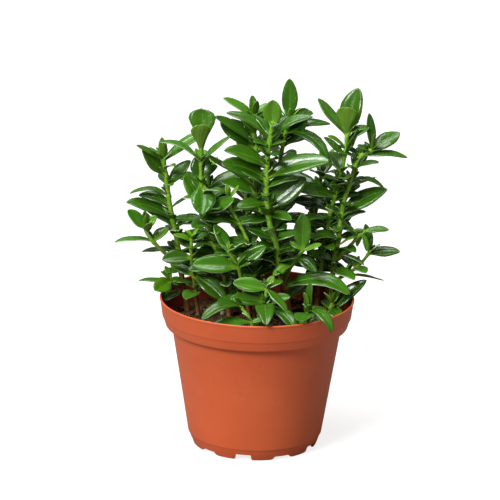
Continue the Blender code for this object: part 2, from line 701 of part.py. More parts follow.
def place_leaves(stems, fixed):
    """Settles every leaf in turn, clear of the pot, the soil, other stems and other leaves."""
    stem_trees = {name: [tree_of_object(stem) for stem in made] for name, made in stems.items()}
    leaf_trees = []
    placed = {name: [] for name in SHOOTS}
    left_out = 0
    for name, parts in SHOOTS.items():
        others = [tree for other, trees in stem_trees.items() if other != name for tree in trees]
        for part in parts:
            for leaf in part["leaves"]:
                root = point_at_height(part["route"], leaf["height"]) * MM
                bent, tree = clear_leaf(root, leaf, fixed + others + leaf_trees)
                if bent is None:
                    left_out += 1
                    continue
                leaf_trees.append(tree)
                placed[name].append((root, bent))
    count = sum(len(leaves) for leaves in placed.values())
    print(f"{count} leaves placed, {left_out} with no room")
    return placed


def join_shoot(name, stems, leaves, collection):
    """One closed body: the main stem united with its side stems and leaves."""
    pieces = make_collection(name + "_pieces", hidden=True)
    for index, (root, leaf) in enumerate(leaves):
        mesh = mesh_from_bmesh("leaf", leaf_bmesh(root, leaf))
        add_object(f"{name}_leaf_{index:02d}", mesh, pieces)
    main = stems[0]
    for stem in stems[1:]:
        collection.objects.unlink(stem)
        pieces.objects.link(stem)
    union = main.modifiers.new("Join", "BOOLEAN")
    union.operation = "UNION"
    union.operand_type = "COLLECTION"
    union.collection = pieces
    union.solver = "MANIFOLD"
    bake_modifiers(main)
    for obj in list(pieces.objects):
        bpy.data.objects.remove(obj, do_unlink=True)
    bpy.data.collections.remove(pieces)
    main.name = name
    main.data.name = name
    smooth(main, 60)
    return main


def main():
    clear_scene()
    parts = make_collection(OBJECT_NAME)
    cutters = make_collection("cutters", hidden=True)
    materials = {name: make_material(name, *look) for name, look in COLOURS.items()}
    pot = make_pot(parts, cutters)
    pot.data.materials.append(materials["pot"])
    stems = make_stems(parts)
    feet = [parts_of[0] for parts_of in SHOOTS.values()]
    soil = make_soil(parts, [foot["route"] for foot in feet], [foot["radii"][0] for foot in feet])
    soil.data.materials.append(materials["soil"])
    placed = place_leaves(stems, [tree_of_object(pot), tree_of_object(soil)])
    for name in SHOOTS:
        shoot = join_shoot(name, stems[name], placed[name], parts)
        shoot.data.materials.clear()
        shoot.data.materials.append(materials["shoot"])


main()
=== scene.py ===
# %% [markdown]
# # Dressing a potted candy corn plant
# The plain solids of the pot, the soil and the leafy shoots are already settled, and this script
# gives each of them the look of the real thing. They come in as a fixed frame: nothing in it is
# moved, and each new piece is built around it, rides on it and takes its place on show.

# %% Load the frame
import math
import random

import bmesh
import bpy
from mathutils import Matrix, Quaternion, Vector, kdtree, noise


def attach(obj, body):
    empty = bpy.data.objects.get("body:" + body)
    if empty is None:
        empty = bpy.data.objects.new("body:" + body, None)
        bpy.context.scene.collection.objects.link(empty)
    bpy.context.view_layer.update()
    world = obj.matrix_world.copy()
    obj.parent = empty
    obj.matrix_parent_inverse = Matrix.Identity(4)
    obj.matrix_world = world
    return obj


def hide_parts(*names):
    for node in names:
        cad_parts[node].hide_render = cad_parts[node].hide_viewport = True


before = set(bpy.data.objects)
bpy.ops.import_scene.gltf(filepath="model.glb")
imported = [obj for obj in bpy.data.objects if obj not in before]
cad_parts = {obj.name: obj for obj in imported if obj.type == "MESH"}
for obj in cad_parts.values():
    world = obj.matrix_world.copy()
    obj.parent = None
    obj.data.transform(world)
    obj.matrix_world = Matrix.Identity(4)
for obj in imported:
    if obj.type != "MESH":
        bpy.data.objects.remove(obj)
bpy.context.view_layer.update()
MM = 0.001

# %% [markdown]
# ## Working habits
# An operator acts on everything that is selected, and a fresh import or primitive is selected all
# over. So every step starts from nothing selected, and edges and faces are then picked by where
# they are. These small helpers do what the hand does with the mouse.

# %% Helpers for selecting
def put_everything_down():
    """Back to object mode, with nothing selected."""
    if bpy.context.object and bpy.context.object.mode != "OBJECT":
        bpy.ops.object.mode_set(mode="OBJECT")
    bpy.ops.object.select_all(action="DESELECT")


def take_up(obj):
    """Selects one piece alone and makes it the active one."""
    put_everything_down()
    obj.select_set(True)
    bpy.context.view_layer.objects.active = obj


def open_up(obj):
    """Edit mode, in vertex selection, with all of the piece selected."""
    take_up(obj)
    bpy.ops.object.mode_set(mode="EDIT")
    bpy.context.tool_settings.mesh_select_mode = (True, False, False)
    bpy.ops.mesh.select_all(action="SELECT")


def pick(kind, test):
    """In edit mode, selects the vertices, edges or faces whose middle point passes a test."""
    obj = bpy.context.object
    kinds = ("VERT", "EDGE", "FACE")
    bpy.context.tool_settings.mesh_select_mode = [kind == one for one in kinds]
    shape = bmesh.from_edit_mesh(obj.data)
    for items in (shape.faces, shape.edges, shape.verts):
        for item in items:
            item.select_set(False)
    count = 0
    for item in (shape.verts, shape.edges, shape.faces)[kinds.index(kind)]:
        if kind == "VERT":
            middle = item.co
        elif kind == "EDGE":
            middle = (item.verts[0].co + item.verts[1].co) / 2
        else:
            middle = item.calc_center_median()
        if test(item, middle):
            item.select_set(True)
            count += 1
    bmesh.update_edit_mesh(obj.data)
    return count


print("helpers for selecting are ready")

# %% Helpers for finishing a piece
def settle(obj, name):
    """Names a piece and puts its place into its mesh, so that its object sits at the origin."""
    take_up(obj)
    bpy.ops.object.transform_apply(location=True, rotation=True, scale=True)
    obj.name = name
    obj.data.name = name
    return obj


def apply_modifiers(obj):
    take_up(obj)
    for modifier in list(obj.modifiers):
        bpy.ops.object.modifier_apply(modifier=modifier.name)


def tidy_shell(merge_within):
    """In edit mode, merges doubled points and turns the faces outwards; then object mode again."""
    bpy.ops.mesh.select_all(action="SELECT")
    bpy.ops.mesh.remove_doubles(threshold=merge_within)
    bpy.ops.mesh.normals_make_consistent(inside=False)
    bpy.ops.object.mode_set(mode="OBJECT")


def stand_in_for(obj, node):
    """The piece moves with the plant and hides the plain solid."""
    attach(obj, "root")
    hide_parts(node)


print("helpers for finishing are ready")

# %% Helpers for copying and joining
def copy_of(pattern):
    """A copy of a pattern, with a mesh of its own."""
    copy = pattern.copy()
    copy.data = pattern.data.copy()
    bpy.context.collection.objects.link(copy)
    return copy


def join_up(pieces, name):
    """Joins loose pieces into one and settles it."""
    put_everything_down()
    for one in pieces:
        one.select_set(True)
    bpy.context.view_layer.objects.active = pieces[0]
    if len(pieces) > 1:
        bpy.ops.object.join()
    return settle(bpy.context.object, name)


def put_away(*patterns):
    for one in patterns:
        bpy.data.objects.remove(one, do_unlink=True)


print("helpers for copying and joining are ready")

# %% [markdown]
# ## The camera
# The picture looks a little down into the rim and was taken with a long lens, so upright lines
# hardly converge. The camera stands 2.5 m away and looks about 16 degrees down. The real one was
# held a degree off level, which shows in the rim, so this one is rolled by the same degree.

# %% Set up the camera
CAMERA_PLACE = Vector((0.0, -2.3666, 0.8657))
CAMERA_AIM = Vector((-0.0067, 0.0, 0.1691))
CAMERA_ROLL = math.radians(1.0)
SENSOR_WIDTH, LENS = 36.0, 210.6  # in millimetres
put_everything_down()
bpy.ops.object.camera_add(location=CAMERA_PLACE)
camera = bpy.context.object
camera.name = "camera"
aim = (CAMERA_AIM - CAMERA_PLACE).to_track_quat("-Z", "Y")
camera.rotation_mode = "QUATERNION"
camera.rotation_quaternion = aim @ Quaternion((0, 0, 1), CAMERA_ROLL)
camera.data.sensor_width = SENSOR_WIDTH
camera.data.lens = LENS
camera.data.dof.use_dof = False
camera.data.clip_end = 60.0
bpy.context.scene.camera = camera
looks_down = math.degrees(math.asin((CAMERA_PLACE - CAMERA_AIM).normalized().z))
print("camera looks down by", round(looks_down, 1), "degrees")

# %% [markdown]
# ## The studio
# The plant stands on a white sheet under soft light. A broad window light comes from high on the
# left and in front, and leaves the pot's right side in shade. A soft box hangs overhead, and a pale
# room is all round. The sheet looks white to the camera and keeps a light shadow, but to everything
# else it is a dull grey, so that it doesn't brighten the pot from below.

# %% Light the studio
def make_light(kind, name, place, aim_at, energy, size=0.0, spread=0.0):
    """A lamp aimed at a point; size is in metres for a soft box, spread in degrees for a sun."""
    put_everything_down()
    bpy.ops.object.light_add(type=kind, location=place)
    light = bpy.context.object
    light.name = name
    light.data.energy = energy
    if kind == "AREA":
        light.data.size = size
    else:
        light.data.angle = math.radians(spread)
    light.rotation_mode = "QUATERNION"
    light.rotation_quaternion = (Vector(aim_at) - Vector(place)).to_track_quat("-Z", "Y")
    return light


make_light("SUN", "window_light", (-1.20, -1.62, 1.75), (0, 0, 0.15), 2.9, spread=22)
make_light("AREA", "top_soft_box", (-0.25, -0.15, 1.7), (0, 0, 0.2), 26.0, size=1.1)
world = bpy.data.worlds.new("pale_room")
bpy.context.scene.world = world
world.use_nodes = True
room = world.node_tree.nodes["Background"]
room.inputs["Color"].default_value = (1.0, 0.95, 0.84, 1.0)
room.inputs["Strength"].default_value = 0.21
bpy.context.scene.view_settings.view_transform = "Standard"

# %% Lay the white sheet
SHEET_WIDE, SHEET_BACK = 24.0, 4.0
SHEET_DROP = 0.0003  # keeps the sheet just clear of the pot's feet
put_everything_down()
bpy.ops.mesh.primitive_plane_add(size=SHEET_WIDE, location=(0, SHEET_BACK, -SHEET_DROP))
sheet = settle(bpy.context.object, "white_sheet")
paper = bpy.data.materials.new("white_paper")
paper.use_nodes = True
tree = paper.node_tree
dull = tree.nodes["Principled BSDF"]
seen = tree.nodes.new("ShaderNodeBsdfPrincipled")
for side, grey in ((dull, (0.30, 0.28, 0.25)), (seen, (0.30, 0.30, 0.30))):
    side.inputs["Base Color"].default_value = (*grey, 1.0)
    side.inputs["Roughness"].default_value = 0.95
seen.inputs["Emission Color"].default_value = (1.0, 1.0, 1.0, 1.0)
seen.inputs["Emission Strength"].default_value = 0.82
which = tree.nodes.new("ShaderNodeMixShader")
tree.links.new(tree.nodes.new("ShaderNodeLightPath").outputs["Is Camera Ray"], which.inputs[0])
tree.links.new(dull.outputs[0], which.inputs[1])
tree.links.new(seen.outputs[0], which.inputs[2])
tree.links.new(which.outputs[0], tree.nodes["Material Output"].inputs["Surface"])
sheet.data.materials.append(paper)
print("sheet is", round(sheet.dimensions.x), "m wide")

# %% [markdown]
# ## Shared surface effects
# Nothing on the plant is one flat colour. Plastic, soil, leaves and bark all need an irregular
# grain, so it is built once as a node group, with its own scales and contrast wherever it is used.
# It puts out broad patches, which tint a colour, and a fine grain, which also serves as a height.

# %% Helpers for node trees
def new_group(name, inputs, outputs):
    """A node group with named sockets, and its input and output nodes."""
    group = bpy.data.node_groups.new(name, "ShaderNodeTree")
    for label, kind, value in inputs:
        socket = group.interface.new_socket(label, in_out="INPUT", socket_type=kind)
        if value is not None:
            socket.default_value = value
    for label, kind in outputs:
        group.interface.new_socket(label, in_out="OUTPUT", socket_type=kind)
    return group, group.nodes.new("NodeGroupInput"), group.nodes.new("NodeGroupOutput")


def maths(tree, operation, first, second=None, clamp=False):
    """One Math node; an input is a socket or a plain number."""
    node = tree.nodes.new("ShaderNodeMath")
    node.operation = operation
    node.use_clamp = clamp
    for socket, value in zip(node.inputs, (first, second)):
        if isinstance(value, (int, float)):
            socket.default_value = value
        elif value is not None:
            tree.links.new(value, socket)
    return node.outputs[0]


def times(tree, first, second):
    return maths(tree, "MULTIPLY", first, second)


def fade(tree, value, start, end):
    """0 at start and 1 at end, with a soft change between."""
    node = tree.nodes.new("ShaderNodeMapRange")
    node.interpolation_type = "SMOOTHSTEP"
    tree.links.new(value, node.inputs["Value"])
    node.inputs["From Min"].default_value = start
    node.inputs["From Max"].default_value = end
    return node.outputs["Result"]


print("node helpers are ready")

# %% A node group for grain
FULL_RANGE = 2.2  # noise stays near its middle, and this spreads it over nearly 0 to 1
grain_group, grain_in, grain_out = new_group(
    "fine_grain",
    [("Vector", "NodeSocketVector", None), ("Patch scale", "NodeSocketFloat", 20.0),
     ("Grain scale", "NodeSocketFloat", 400.0), ("Contrast", "NodeSocketFloat", 1.0)],
    [("Patches", "NodeSocketFloat"), ("Grain", "NodeSocketFloat")],
)
for label, scale, detail in (("Patches", "Patch scale", 4.0), ("Grain", "Grain scale", 5.0)):
    cloud = grain_group.nodes.new("ShaderNodeTexNoise")
    cloud.inputs["Detail"].default_value = detail
    grain_group.links.new(grain_in.outputs["Vector"], cloud.inputs["Vector"])
    grain_group.links.new(grain_in.outputs[scale], cloud.inputs["Scale"])
    centred = maths(grain_group, "SUBTRACT", cloud.outputs["Fac"], 0.5)
    stronger = times(grain_group, centred, grain_in.outputs["Contrast"])
    spread = times(grain_group, stronger, FULL_RANGE)
    grain_group.links.new(maths(grain_group, "ADD", spread, 0.5, clamp=True),
                          grain_out.inputs[label])
print("group", grain_group.name, "has", len(grain_group.nodes), "nodes")

# %% Helpers for materials
def new_material(name, roughness=0.5, specular=0.5):
    material = bpy.data.materials.new(name)
    material.use_nodes = True
    shader = material.node_tree.nodes["Principled BSDF"]
    shader.inputs["Roughness"].default_value = roughness
    shader.inputs["Specular IOR Level"].default_value = specular
    return material, material.node_tree, shader


def place_grain(tree, patch_scale, grain_scale, contrast=1.0):
    """The shared grain, laid over the piece's own coordinates."""
    where = tree.nodes.new("ShaderNodeTexCoord").outputs["Object"]
    node = tree.nodes.new("ShaderNodeGroup")
    node.node_tree = grain_group
    tree.links.new(where, node.inputs["Vector"])
    node.inputs["Patch scale"].default_value = patch_scale
    node.inputs["Grain scale"].default_value = grain_scale
    node.inputs["Contrast"].default_value = contrast
    return node


def mix_colour(tree, share, first, second):
    """A blend of two colours, each a socket or red, green and blue."""
    node = tree.nodes.new("ShaderNodeMix")
    node.data_type = "RGBA"
    if isinstance(share, (int, float)):
        node.inputs[0].default_value = share
    else:
        tree.links.new(share, node.inputs[0])
    for socket, value in ((node.inputs[6], first), (node.inputs[7], second)):
        if isinstance(value, tuple):
            socket.default_value = (*value, 1.0)
        else:
            tree.links.new(value, socket)
    return node.outputs[2]


def vary_roughness(tree, shader, mask, smoothest, swing):
    uneven = maths(tree, "ADD", times(tree, mask, swing), smoothest)
    tree.links.new(uneven, shader.inputs["Roughness"])


def add_bump(tree, shader, height, distance, strength):
    """Small relief; distance is its height in metres."""
    node = tree.nodes.new("ShaderNodeBump")
    node.inputs["Strength"].default_value = strength
    node.inputs["Distance"].default_value = distance
    tree.links.new(height, node.inputs["Height"])
    tree.links.new(node.outputs["Normal"], shader.inputs["Normal"])


print("material helpers are ready")

# %% [markdown]
# ## The pot's plastic
# The pot is moulded in terracotta-coloured polypropylene: satin, a little uneven in tone, and
# rubbed paler in small scuffs. Its inner wall lies in shade, and that shade is painted into it as a
# darker red. The two sides are two materials made by one function, with the same grain.

# %% Terracotta plastic, outside and inside, the inside with painted shade
SCUFF_SHARE = 0.10


def make_plastic(name, dark, light, scuff, roughness):
    material, tree, shader = new_material(name, roughness, specular=0.35)
    grain = place_grain(tree, 26.0, 900.0)
    colour = mix_colour(tree, grain.outputs["Patches"], dark, light)
    scuffs = place_grain(tree, 60.0, 210.0, contrast=1.4)
    rubbed = times(tree, fade(tree, scuffs.outputs["Patches"], 0.72, 0.95),
                   fade(tree, scuffs.outputs["Grain"], 0.60, 0.85))
    tree.links.new(mix_colour(tree, times(tree, rubbed, SCUFF_SHARE), colour, scuff),
                   shader.inputs["Base Color"])
    vary_roughness(tree, shader, grain.outputs["Patches"], roughness, swing=0.10)
    add_bump(tree, shader, grain.outputs["Grain"], distance=0.05 * MM, strength=0.25)
    return material


pot_outside = make_plastic("pot_outside", dark=(0.575, 0.096, 0.029), light=(0.625, 0.118, 0.038),
                           scuff=(0.70, 0.24, 0.12), roughness=0.40)
# The inside is the same plastic in a darker red, which is painted shade.
pot_inside_painted_shade = make_plastic("pot_inside_painted_shade", dark=(0.26, 0.026, 0.012), light=(0.33, 0.038, 0.018),
                          scuff=(0.42, 0.10, 0.06), roughness=0.50)
print("plastic:", pot_outside.name, pot_inside_painted_shade.name)

# %% [markdown]
# ## The pot
# A nursery pot is a thin round shell: a rolled lip, a deep rim band that leans in below a soft
# crease, a ledge where the band meets the body, a straight taper and a fine moulded line above the
# feet. Such a shape could be spun from a profile. Here the lip is one ring of edges, extruded down
# the outside and under the floor, and then down the inside, because each step can be read as a
# radius and a height.

# %% The pot's rings, each a radius and a height in millimetres
POT_SIDES = 120
LIP = (81.65, 128.0)
OUTER_RINGS = ((82.10, 127.85), (82.42, 127.50), (82.50, 126.95), (82.42, 126.35), (82.08, 125.95),
               (81.90, 125.20), (80.25, 113.10), (80.12, 112.60), (79.86, 112.20), (79.45, 111.75),
               (79.30, 111.20), (77.55, 105.30), (77.30, 104.70), (76.80, 104.30), (72.70, 103.15),
               (72.10, 102.85), (71.92, 102.30),
               (64.80, 58.00), (57.30, 11.00), (57.22, 10.35), (57.05, 9.95), (56.60, 9.55),
               (56.35, 9.00), (53.50, 0.80), (53.20, 0.30), (52.85, 0.00))
FLOOR_RINGS = ((51.10, 0.00), (50.85, 0.25), (51.80, 4.20), (30.00, 4.20), (0.60, 4.20))
INSIDE_RINGS = ((81.15, 127.80), (80.85, 127.30), (80.55, 124.50), (78.80, 112.20),
                (75.80, 105.35), (70.90, 104.00), (63.60, 58.00), (55.20, 6.60), (54.20, 5.70),
                (30.00, 5.70), (0.60, 5.70))
print("rings outside, below and inside:", [*map(len, (OUTER_RINGS, FLOOR_RINGS, INSIDE_RINGS))])

# %% Draw the pot ring by ring
def start_ring(name, sides, radius, height):
    """One ring of edges round the axis, all selected in edit mode."""
    put_everything_down()
    bpy.ops.mesh.primitive_circle_add(vertices=sides, radius=radius * MM,
                                      location=(0, 0, height * MM))
    piece = settle(bpy.context.object, name)
    open_up(piece)
    return piece


def draw_rings(start, rings):
    """Extrudes the selected ring through each radius and height, and closes the end on the axis."""
    radius_now, height_now = start
    for radius, height in rings:
        bpy.ops.mesh.extrude_region_move()
        growth = radius / radius_now
        bpy.ops.transform.resize(value=(growth, growth, 1.0),
                                 center_override=(0, 0, height_now * MM))
        bpy.ops.transform.translate(value=(0, 0, (height - height_now) * MM))
        radius_now, height_now = radius, height
    bpy.ops.mesh.merge(type="CENTER")


pot = start_ring("nursery_pot", POT_SIDES, *LIP)
draw_rings(LIP, OUTER_RINGS + FLOOR_RINGS)
pick("EDGE", lambda edge, middle: edge.is_boundary)
draw_rings(LIP, INSIDE_RINGS)
tidy_shell(merge_within=0.01 * MM)
print("pot shell:", len(pot.data.polygons), "faces")

# %% [markdown]
# ## The feet
# Ten gaps let water out under the pot, deep ones and shallow scallops in turn, and leave ten feet
# with softly rounded corners. Each kind of gap is modelled once, as a block with a rounded top and
# a flared mouth. Copies of the two go round the foot and are cut away with one Boolean, which gives
# all the feet their round corners at once.

# %% Model the two kinds of gap
GAP_LONG = 18.0 * MM
MOUTH_TOP, MOUTH_DEEP, MOUTH_ROUNDING = 1.2 * MM, 2.2 * MM, 0.9 * MM


def model_gap(name, wide, high, rounding, flare):
    """A block that reaches right through the foot; flare widens its mouth at the table."""
    put_everything_down()
    bpy.ops.mesh.primitive_cube_add(size=1.0, location=(0, 0, (high + MOUTH_TOP) / 2))
    block = bpy.context.object
    block.scale = (GAP_LONG, wide, high - MOUTH_TOP)
    settle(block, name)
    open_up(block)
    pick("EDGE", lambda edge, middle: middle.z > high * 0.9 and abs(middle.y) > wide * 0.45)
    bpy.ops.mesh.bevel(offset=rounding, segments=4)
    pick("FACE", lambda face, middle: face.normal.z < -0.9)
    bpy.ops.mesh.extrude_region_move(TRANSFORM_OT_translate={"value": (0, 0, -MOUTH_DEEP)})
    bpy.ops.transform.resize(value=(1.0, flare, 1.0), center_override=(0, 0, 0))
    pick("EDGE", lambda edge, middle: abs(middle.z - MOUTH_TOP) < 0.0002
         and abs(middle.y) > wide * 0.45 and abs(edge.verts[0].co.x - edge.verts[1].co.x) > 0.001)
    bpy.ops.mesh.bevel(offset=MOUTH_ROUNDING, segments=3)
    bpy.ops.object.mode_set(mode="OBJECT")
    return block


deep_gap = model_gap("deep_gap", wide=13.6 * MM, high=5.2 * MM, rounding=1.2 * MM, flare=1.30)
scallop = model_gap("scallop", wide=15.0 * MM, high=3.0 * MM, rounding=1.5 * MM, flare=1.70)
print("gap blocks:", [len(block.data.polygons) for block in (deep_gap, scallop)], "faces")

# %% Cut the gaps between the feet
GAPS = 10
FIRST_GAP = math.radians(260)
GAP_MIDDLE = 57.0 * MM
blocks = []
for number in range(GAPS):
    angle = FIRST_GAP + number * math.tau / GAPS
    one = copy_of(scallop if number % 2 else deep_gap)
    one.location = (GAP_MIDDLE * math.cos(angle), GAP_MIDDLE * math.sin(angle), 0)
    one.rotation_euler = (0, 0, angle)
    blocks.append(one)
gap_blocks = join_up(blocks, "gap_blocks")
cut = pot.modifiers.new("Gaps between feet", "BOOLEAN")
cut.operation = "DIFFERENCE"
cut.solver = "EXACT"
cut.object = gap_blocks
apply_modifiers(pot)
put_away(deep_gap, scallop, gap_blocks)
print("pot with feet:", len(pot.data.polygons), "faces")

# %% Give the pot its two plastics
INSIDE_FROM, INSIDE_TO = 5.5 * MM, 127.0 * MM
pot.data.materials.clear()
pot.data.materials.append(pot_outside)
pot.data.materials.append(pot_inside_painted_shade)
open_up(pot)
inner_faces = pick("FACE", lambda face, middle: INSIDE_FROM < middle.z < INSIDE_TO
                   and face.normal.x * middle.x + face.normal.y * middle.y < -0.0001)
# The inner faces take the plastic whose darker red is painted shade.
pot.active_material_index = 1
bpy.ops.object.material_slot_assign()
bpy.ops.object.mode_set(mode="OBJECT")
bpy.ops.object.shade_smooth_by_angle(angle=math.radians(32))
stand_in_for(pot, "pot")
print("inner faces:", inner_faces)

# %% [markdown]
# ## Potting mix
# The soil is dark, moist peat and bark with a few pale grains of perlite and tan root fibres. Its
# top is a disc of rings that noise raises into crumbs, and the stems stand in it. A bump alone
# could give the crumbs, but real ones catch the light one by one, so loose bits go on it later.

# %% Soil material
soil_material, tree, shader = new_material("potting_mix", 0.92, 0.25)
crumbs = place_grain(tree, 90.0, 620.0, contrast=1.3)
earth = mix_colour(tree, crumbs.outputs["Patches"], (0.045, 0.023, 0.007), (0.20, 0.110, 0.040))
flecks = fade(tree, crumbs.outputs["Grain"], 0.78, 0.92)
tree.links.new(mix_colour(tree, flecks, earth, (0.26, 0.14, 0.07)), shader.inputs["Base Color"])
add_bump(tree, shader, crumbs.outputs["Grain"], distance=1.2 * MM, strength=0.9)
print("material", soil_material.name)

# %% Model the soil
SOIL_SIDES = 120
SOIL_TOP = 108.0 * MM
SOIL_MIDDLE, SOIL_EDGE, SOIL_RINGS = 0.6, 76.6, 30
SOIL_SKIRT = ((75.95, 105.25), (70.60, 103.9), (62.5, 58.0), (54.8, 6.6), (54.0, 6.1), (0.6, 6.1))


def soil_height(x, y):
    """The same low mound as the plain solid has, with finer crumbs on it."""
    near_wall = (math.hypot(x, y) / 0.080) ** 2
    long_wave = math.sin(90 * x + 1.0) * math.cos(110 * y)
    short_wave = math.sin(210 * x - 170 * y)
    mound = 0.8 * MM * (long_wave + 0.6 * short_wave) * (1 - 0.5 * near_wall)
    lumps = noise.noise(Vector((x, y, 0.0)) * 160.0) * 1.5 * MM
    small = noise.noise(Vector((x, y, 0.3)) * 420.0) * 0.9 * MM
    return SOIL_TOP + mound - 1.5 * MM * near_wall + (lumps + small) * (1.05 - 0.6 * near_wall)


middle_ring = (SOIL_MIDDLE, SOIL_TOP / MM)
soil = start_ring("potting_soil", SOIL_SIDES, *middle_ring)
disc_rings = [(SOIL_MIDDLE + (SOIL_EDGE - SOIL_MIDDLE) * step / SOIL_RINGS, SOIL_TOP / MM)
              for step in range(1, SOIL_RINGS + 1)]
draw_rings(middle_ring, disc_rings + list(SOIL_SKIRT))
pick("EDGE", lambda edge, middle: edge.is_boundary)
bpy.ops.mesh.extrude_region_move()
bpy.ops.mesh.merge(type="CENTER")
tidy_shell(merge_within=0.005 * MM)
for vertex in soil.data.vertices:
    if vertex.co.z > SOIL_TOP - 0.5 * MM:
        vertex.co.z = soil_height(vertex.co.x, vertex.co.y)
take_up(soil)
bpy.ops.object.shade_smooth_by_angle(angle=math.radians(60))
soil.data.materials.append(soil_material)
stand_in_for(soil, "soil")
print("soil:", len(soil.data.polygons), "faces")

# %% [markdown]
# ## How the plant grows
# Each shoot is an upright stem with leaves in facing pairs, nearly every pair turned against the
# one below, and young leaves at the tip. Growth could be left to chance, but then no outline would
# be that of the real plant. So a shoot is written as the route of its stem and the heights,
# directions, lengths and slopes of its pairs, and the plain solids were made from the same drawing.
# Heights and lengths are in millimetres, and azimuths turn from the right-hand side to the back.

# %% Writing down a pair of leaves
def pair(height, azimuth, first, second, rise, droop=30, lean=25, width=0.46, spoon=False):
    """Two leaves facing each other: lengths in millimetres, angles in degrees."""
    rises = rise if isinstance(rise, tuple) else (rise, rise)
    return [
        dict(height=height, azimuth=azimuth + 180 * side, length=length, rise=rises[side],
             droop=droop, lean=lean, width=width, spoon=spoon)
        for side, length in enumerate((first, second)) if length
    ]


def tuft(height, azimuth, size=13):
    """The young leaves round a tip: two upright pairs, the inner one smaller."""
    outer = pair(height - 3, azimuth, size, size * 0.9, 58, droop=12, lean=0, width=0.38)
    inner = pair(height, azimuth + 90, size * 0.75, size * 0.7, 72, droop=5, lean=0, width=0.38)
    for leaf in outer + inner:
        leaf["young"] = 1.0
    return outer + inner


def grow(name, stems):
    """Writes down a shoot: for each stem its route, its radii at foot and tip, and its leaves."""
    shoots[name] = stems
    print(name, "has", sum(len(stem["leaves"]) for stem in stems), "leaves, stems:", len(stems))


shoots = {}
print("ready to write down the shoots")

# %% [markdown]
# ### The shoots in the middle
# The middle of the plant is its tallest part: three shoots close together, whose big glossy leaves
# overlap, and a shorter one before them. The first carries a side shoot low down.

# %% shoot_centre
grow("shoot_centre", [
    dict(route=[(29, 0, 92), (27, -1, 118), (21, -4, 143), (18, -6, 160), (15, -8, 178),
                (10, -10, 193), (7, -11, 213), (6, -12, 235), (7, -13, 256), (9, -13, 274),
                (11, -13, 284)],
         radii=(3.1, 1.9),
         leaves=pair(137, 350, 62, 0, 40, droop=84, lean=25, width=0.28)
         + pair(209, 8, 41, 0, 44, droop=10, lean=60, width=0.52)
         + pair(233, 184, 42, 0, 42, droop=42, lean=40, width=0.42)
         + pair(236, 354, 56, 0, 34, droop=34, lean=45, width=0.34)
         + pair(245, 187, 40, 0, 42, droop=40, lean=35, width=0.42)
         + pair(265, 205, 13, 13, 12, droop=20, lean=35, width=0.60)
         + pair(269, 176, 44, 42, 58, droop=56, lean=25, width=0.30)
         + pair(281, 92, 21, 0, 84, droop=4, lean=0, width=0.80)
         + pair(283, 268, 12, 0, 10, droop=20, lean=0, width=0.66)
         + pair(160, 130, 28, 24, 38)
         + pair(172, 205, 24, 24, 30, droop=40, lean=20)
         + pair(181, 174, 27, 22, 40, droop=40, lean=35)
         + pair(190, 250, 20, 26, 34, droop=44, lean=10)
         + pair(204, 318, 26, 0, 16, droop=34)
         + pair(212, 200, 28, 0, 24, droop=50, lean=30)
         + pair(262, 98, 30, 0, 50)),
    dict(route=[(22, -4, 141), (28, -10, 158), (33, -14, 168), (38, -17, 175)],
         radii=(2.0, 1.4),
         leaves=pair(174, 88, 32, 0, 77, droop=8, lean=0, width=0.48)
         + pair(168, 322, 22, 0, -14, droop=25, width=0.62)
         + pair(175, 335, 18, 14, 28, droop=10, width=0.50)
         + pair(161, 200, 20, 0, 10, droop=40)),
])

# %% shoot_centre_left
grow("shoot_centre_left", [
    dict(route=[(3, 16, 92), (4, 14, 129), (5, 14, 169), (3, 13, 196), (-2, 12, 211),
                (-5, 12, 224), (-3, 12, 250), (-5, 12, 268), (-5, 12, 284)],
         radii=(2.6, 1.9),
         leaves=pair(256, 184, 44, 0, 56, droop=38, lean=25, width=0.28)
         + pair(255, 172, 37, 24, (46, 44), droop=24, lean=50, width=0.56)
         + pair(277, 178, 34, 22, 60, droop=46, lean=25, width=0.34)
         + pair(223, 180, 48, 0, 36, droop=8, lean=15, width=0.24)
         + pair(266, 265, 24, 24, 58, droop=15, width=0.60, spoon=True)
         + pair(283, 110, 17, 15, 72, droop=8, width=0.46)
         + pair(284, 215, 14, 15, 64, droop=10, width=0.46)
         + pair(215, 184, 31, 26, 38, droop=38, lean=35, width=0.46)
         + pair(236, 95, 32, 29, (25, 40), droop=40)
         + pair(198, 205, 36, 31, 36, droop=46, lean=25)
         + pair(180, 130, 34, 33, 34, droop=46, lean=25)
         + pair(162, 220, 32, 30, 32, droop=46, lean=15)
         + pair(146, 25, 32, 33, 28, lean=30)),
])

# %% shoot_centre_back
grow("shoot_centre_back", [
    dict(route=[(22, 33, 92), (22, 32, 129), (21, 30, 152), (19, 28, 172), (18, 26, 197),
                (16, 24, 223), (18, 22, 246), (21, 20, 263), (24, 18, 280)],
         radii=(2.6, 1.7),
         leaves=pair(150, 60, 34, 33, 28, lean=25)
         + pair(172, 340, 36, 33, 32, droop=50, lean=20)
         + pair(192, 75, 35, 31, 34, droop=44)
         + pair(212, 165, 35, 36, 36, droop=52, lean=20)
         + pair(232, 350, 40, 24, (44, 36), droop=56, lean=20, width=0.34)
         + pair(256, 352, 38, 24, (62, 40), droop=8, lean=60, width=0.56)
         + pair(265, 350, 56, 22, (28, 40), droop=96, lean=15, width=0.24)
         + pair(268, 8, 50, 27, (38, 40), droop=54, lean=30, width=0.28)
         + pair(274, 172, 32, 26, (42, 50), droop=45, lean=30)
         + pair(278, 88, 35, 0, 82, droop=4, lean=0, width=0.40)
         + tuft(281, 20, 14)),
])

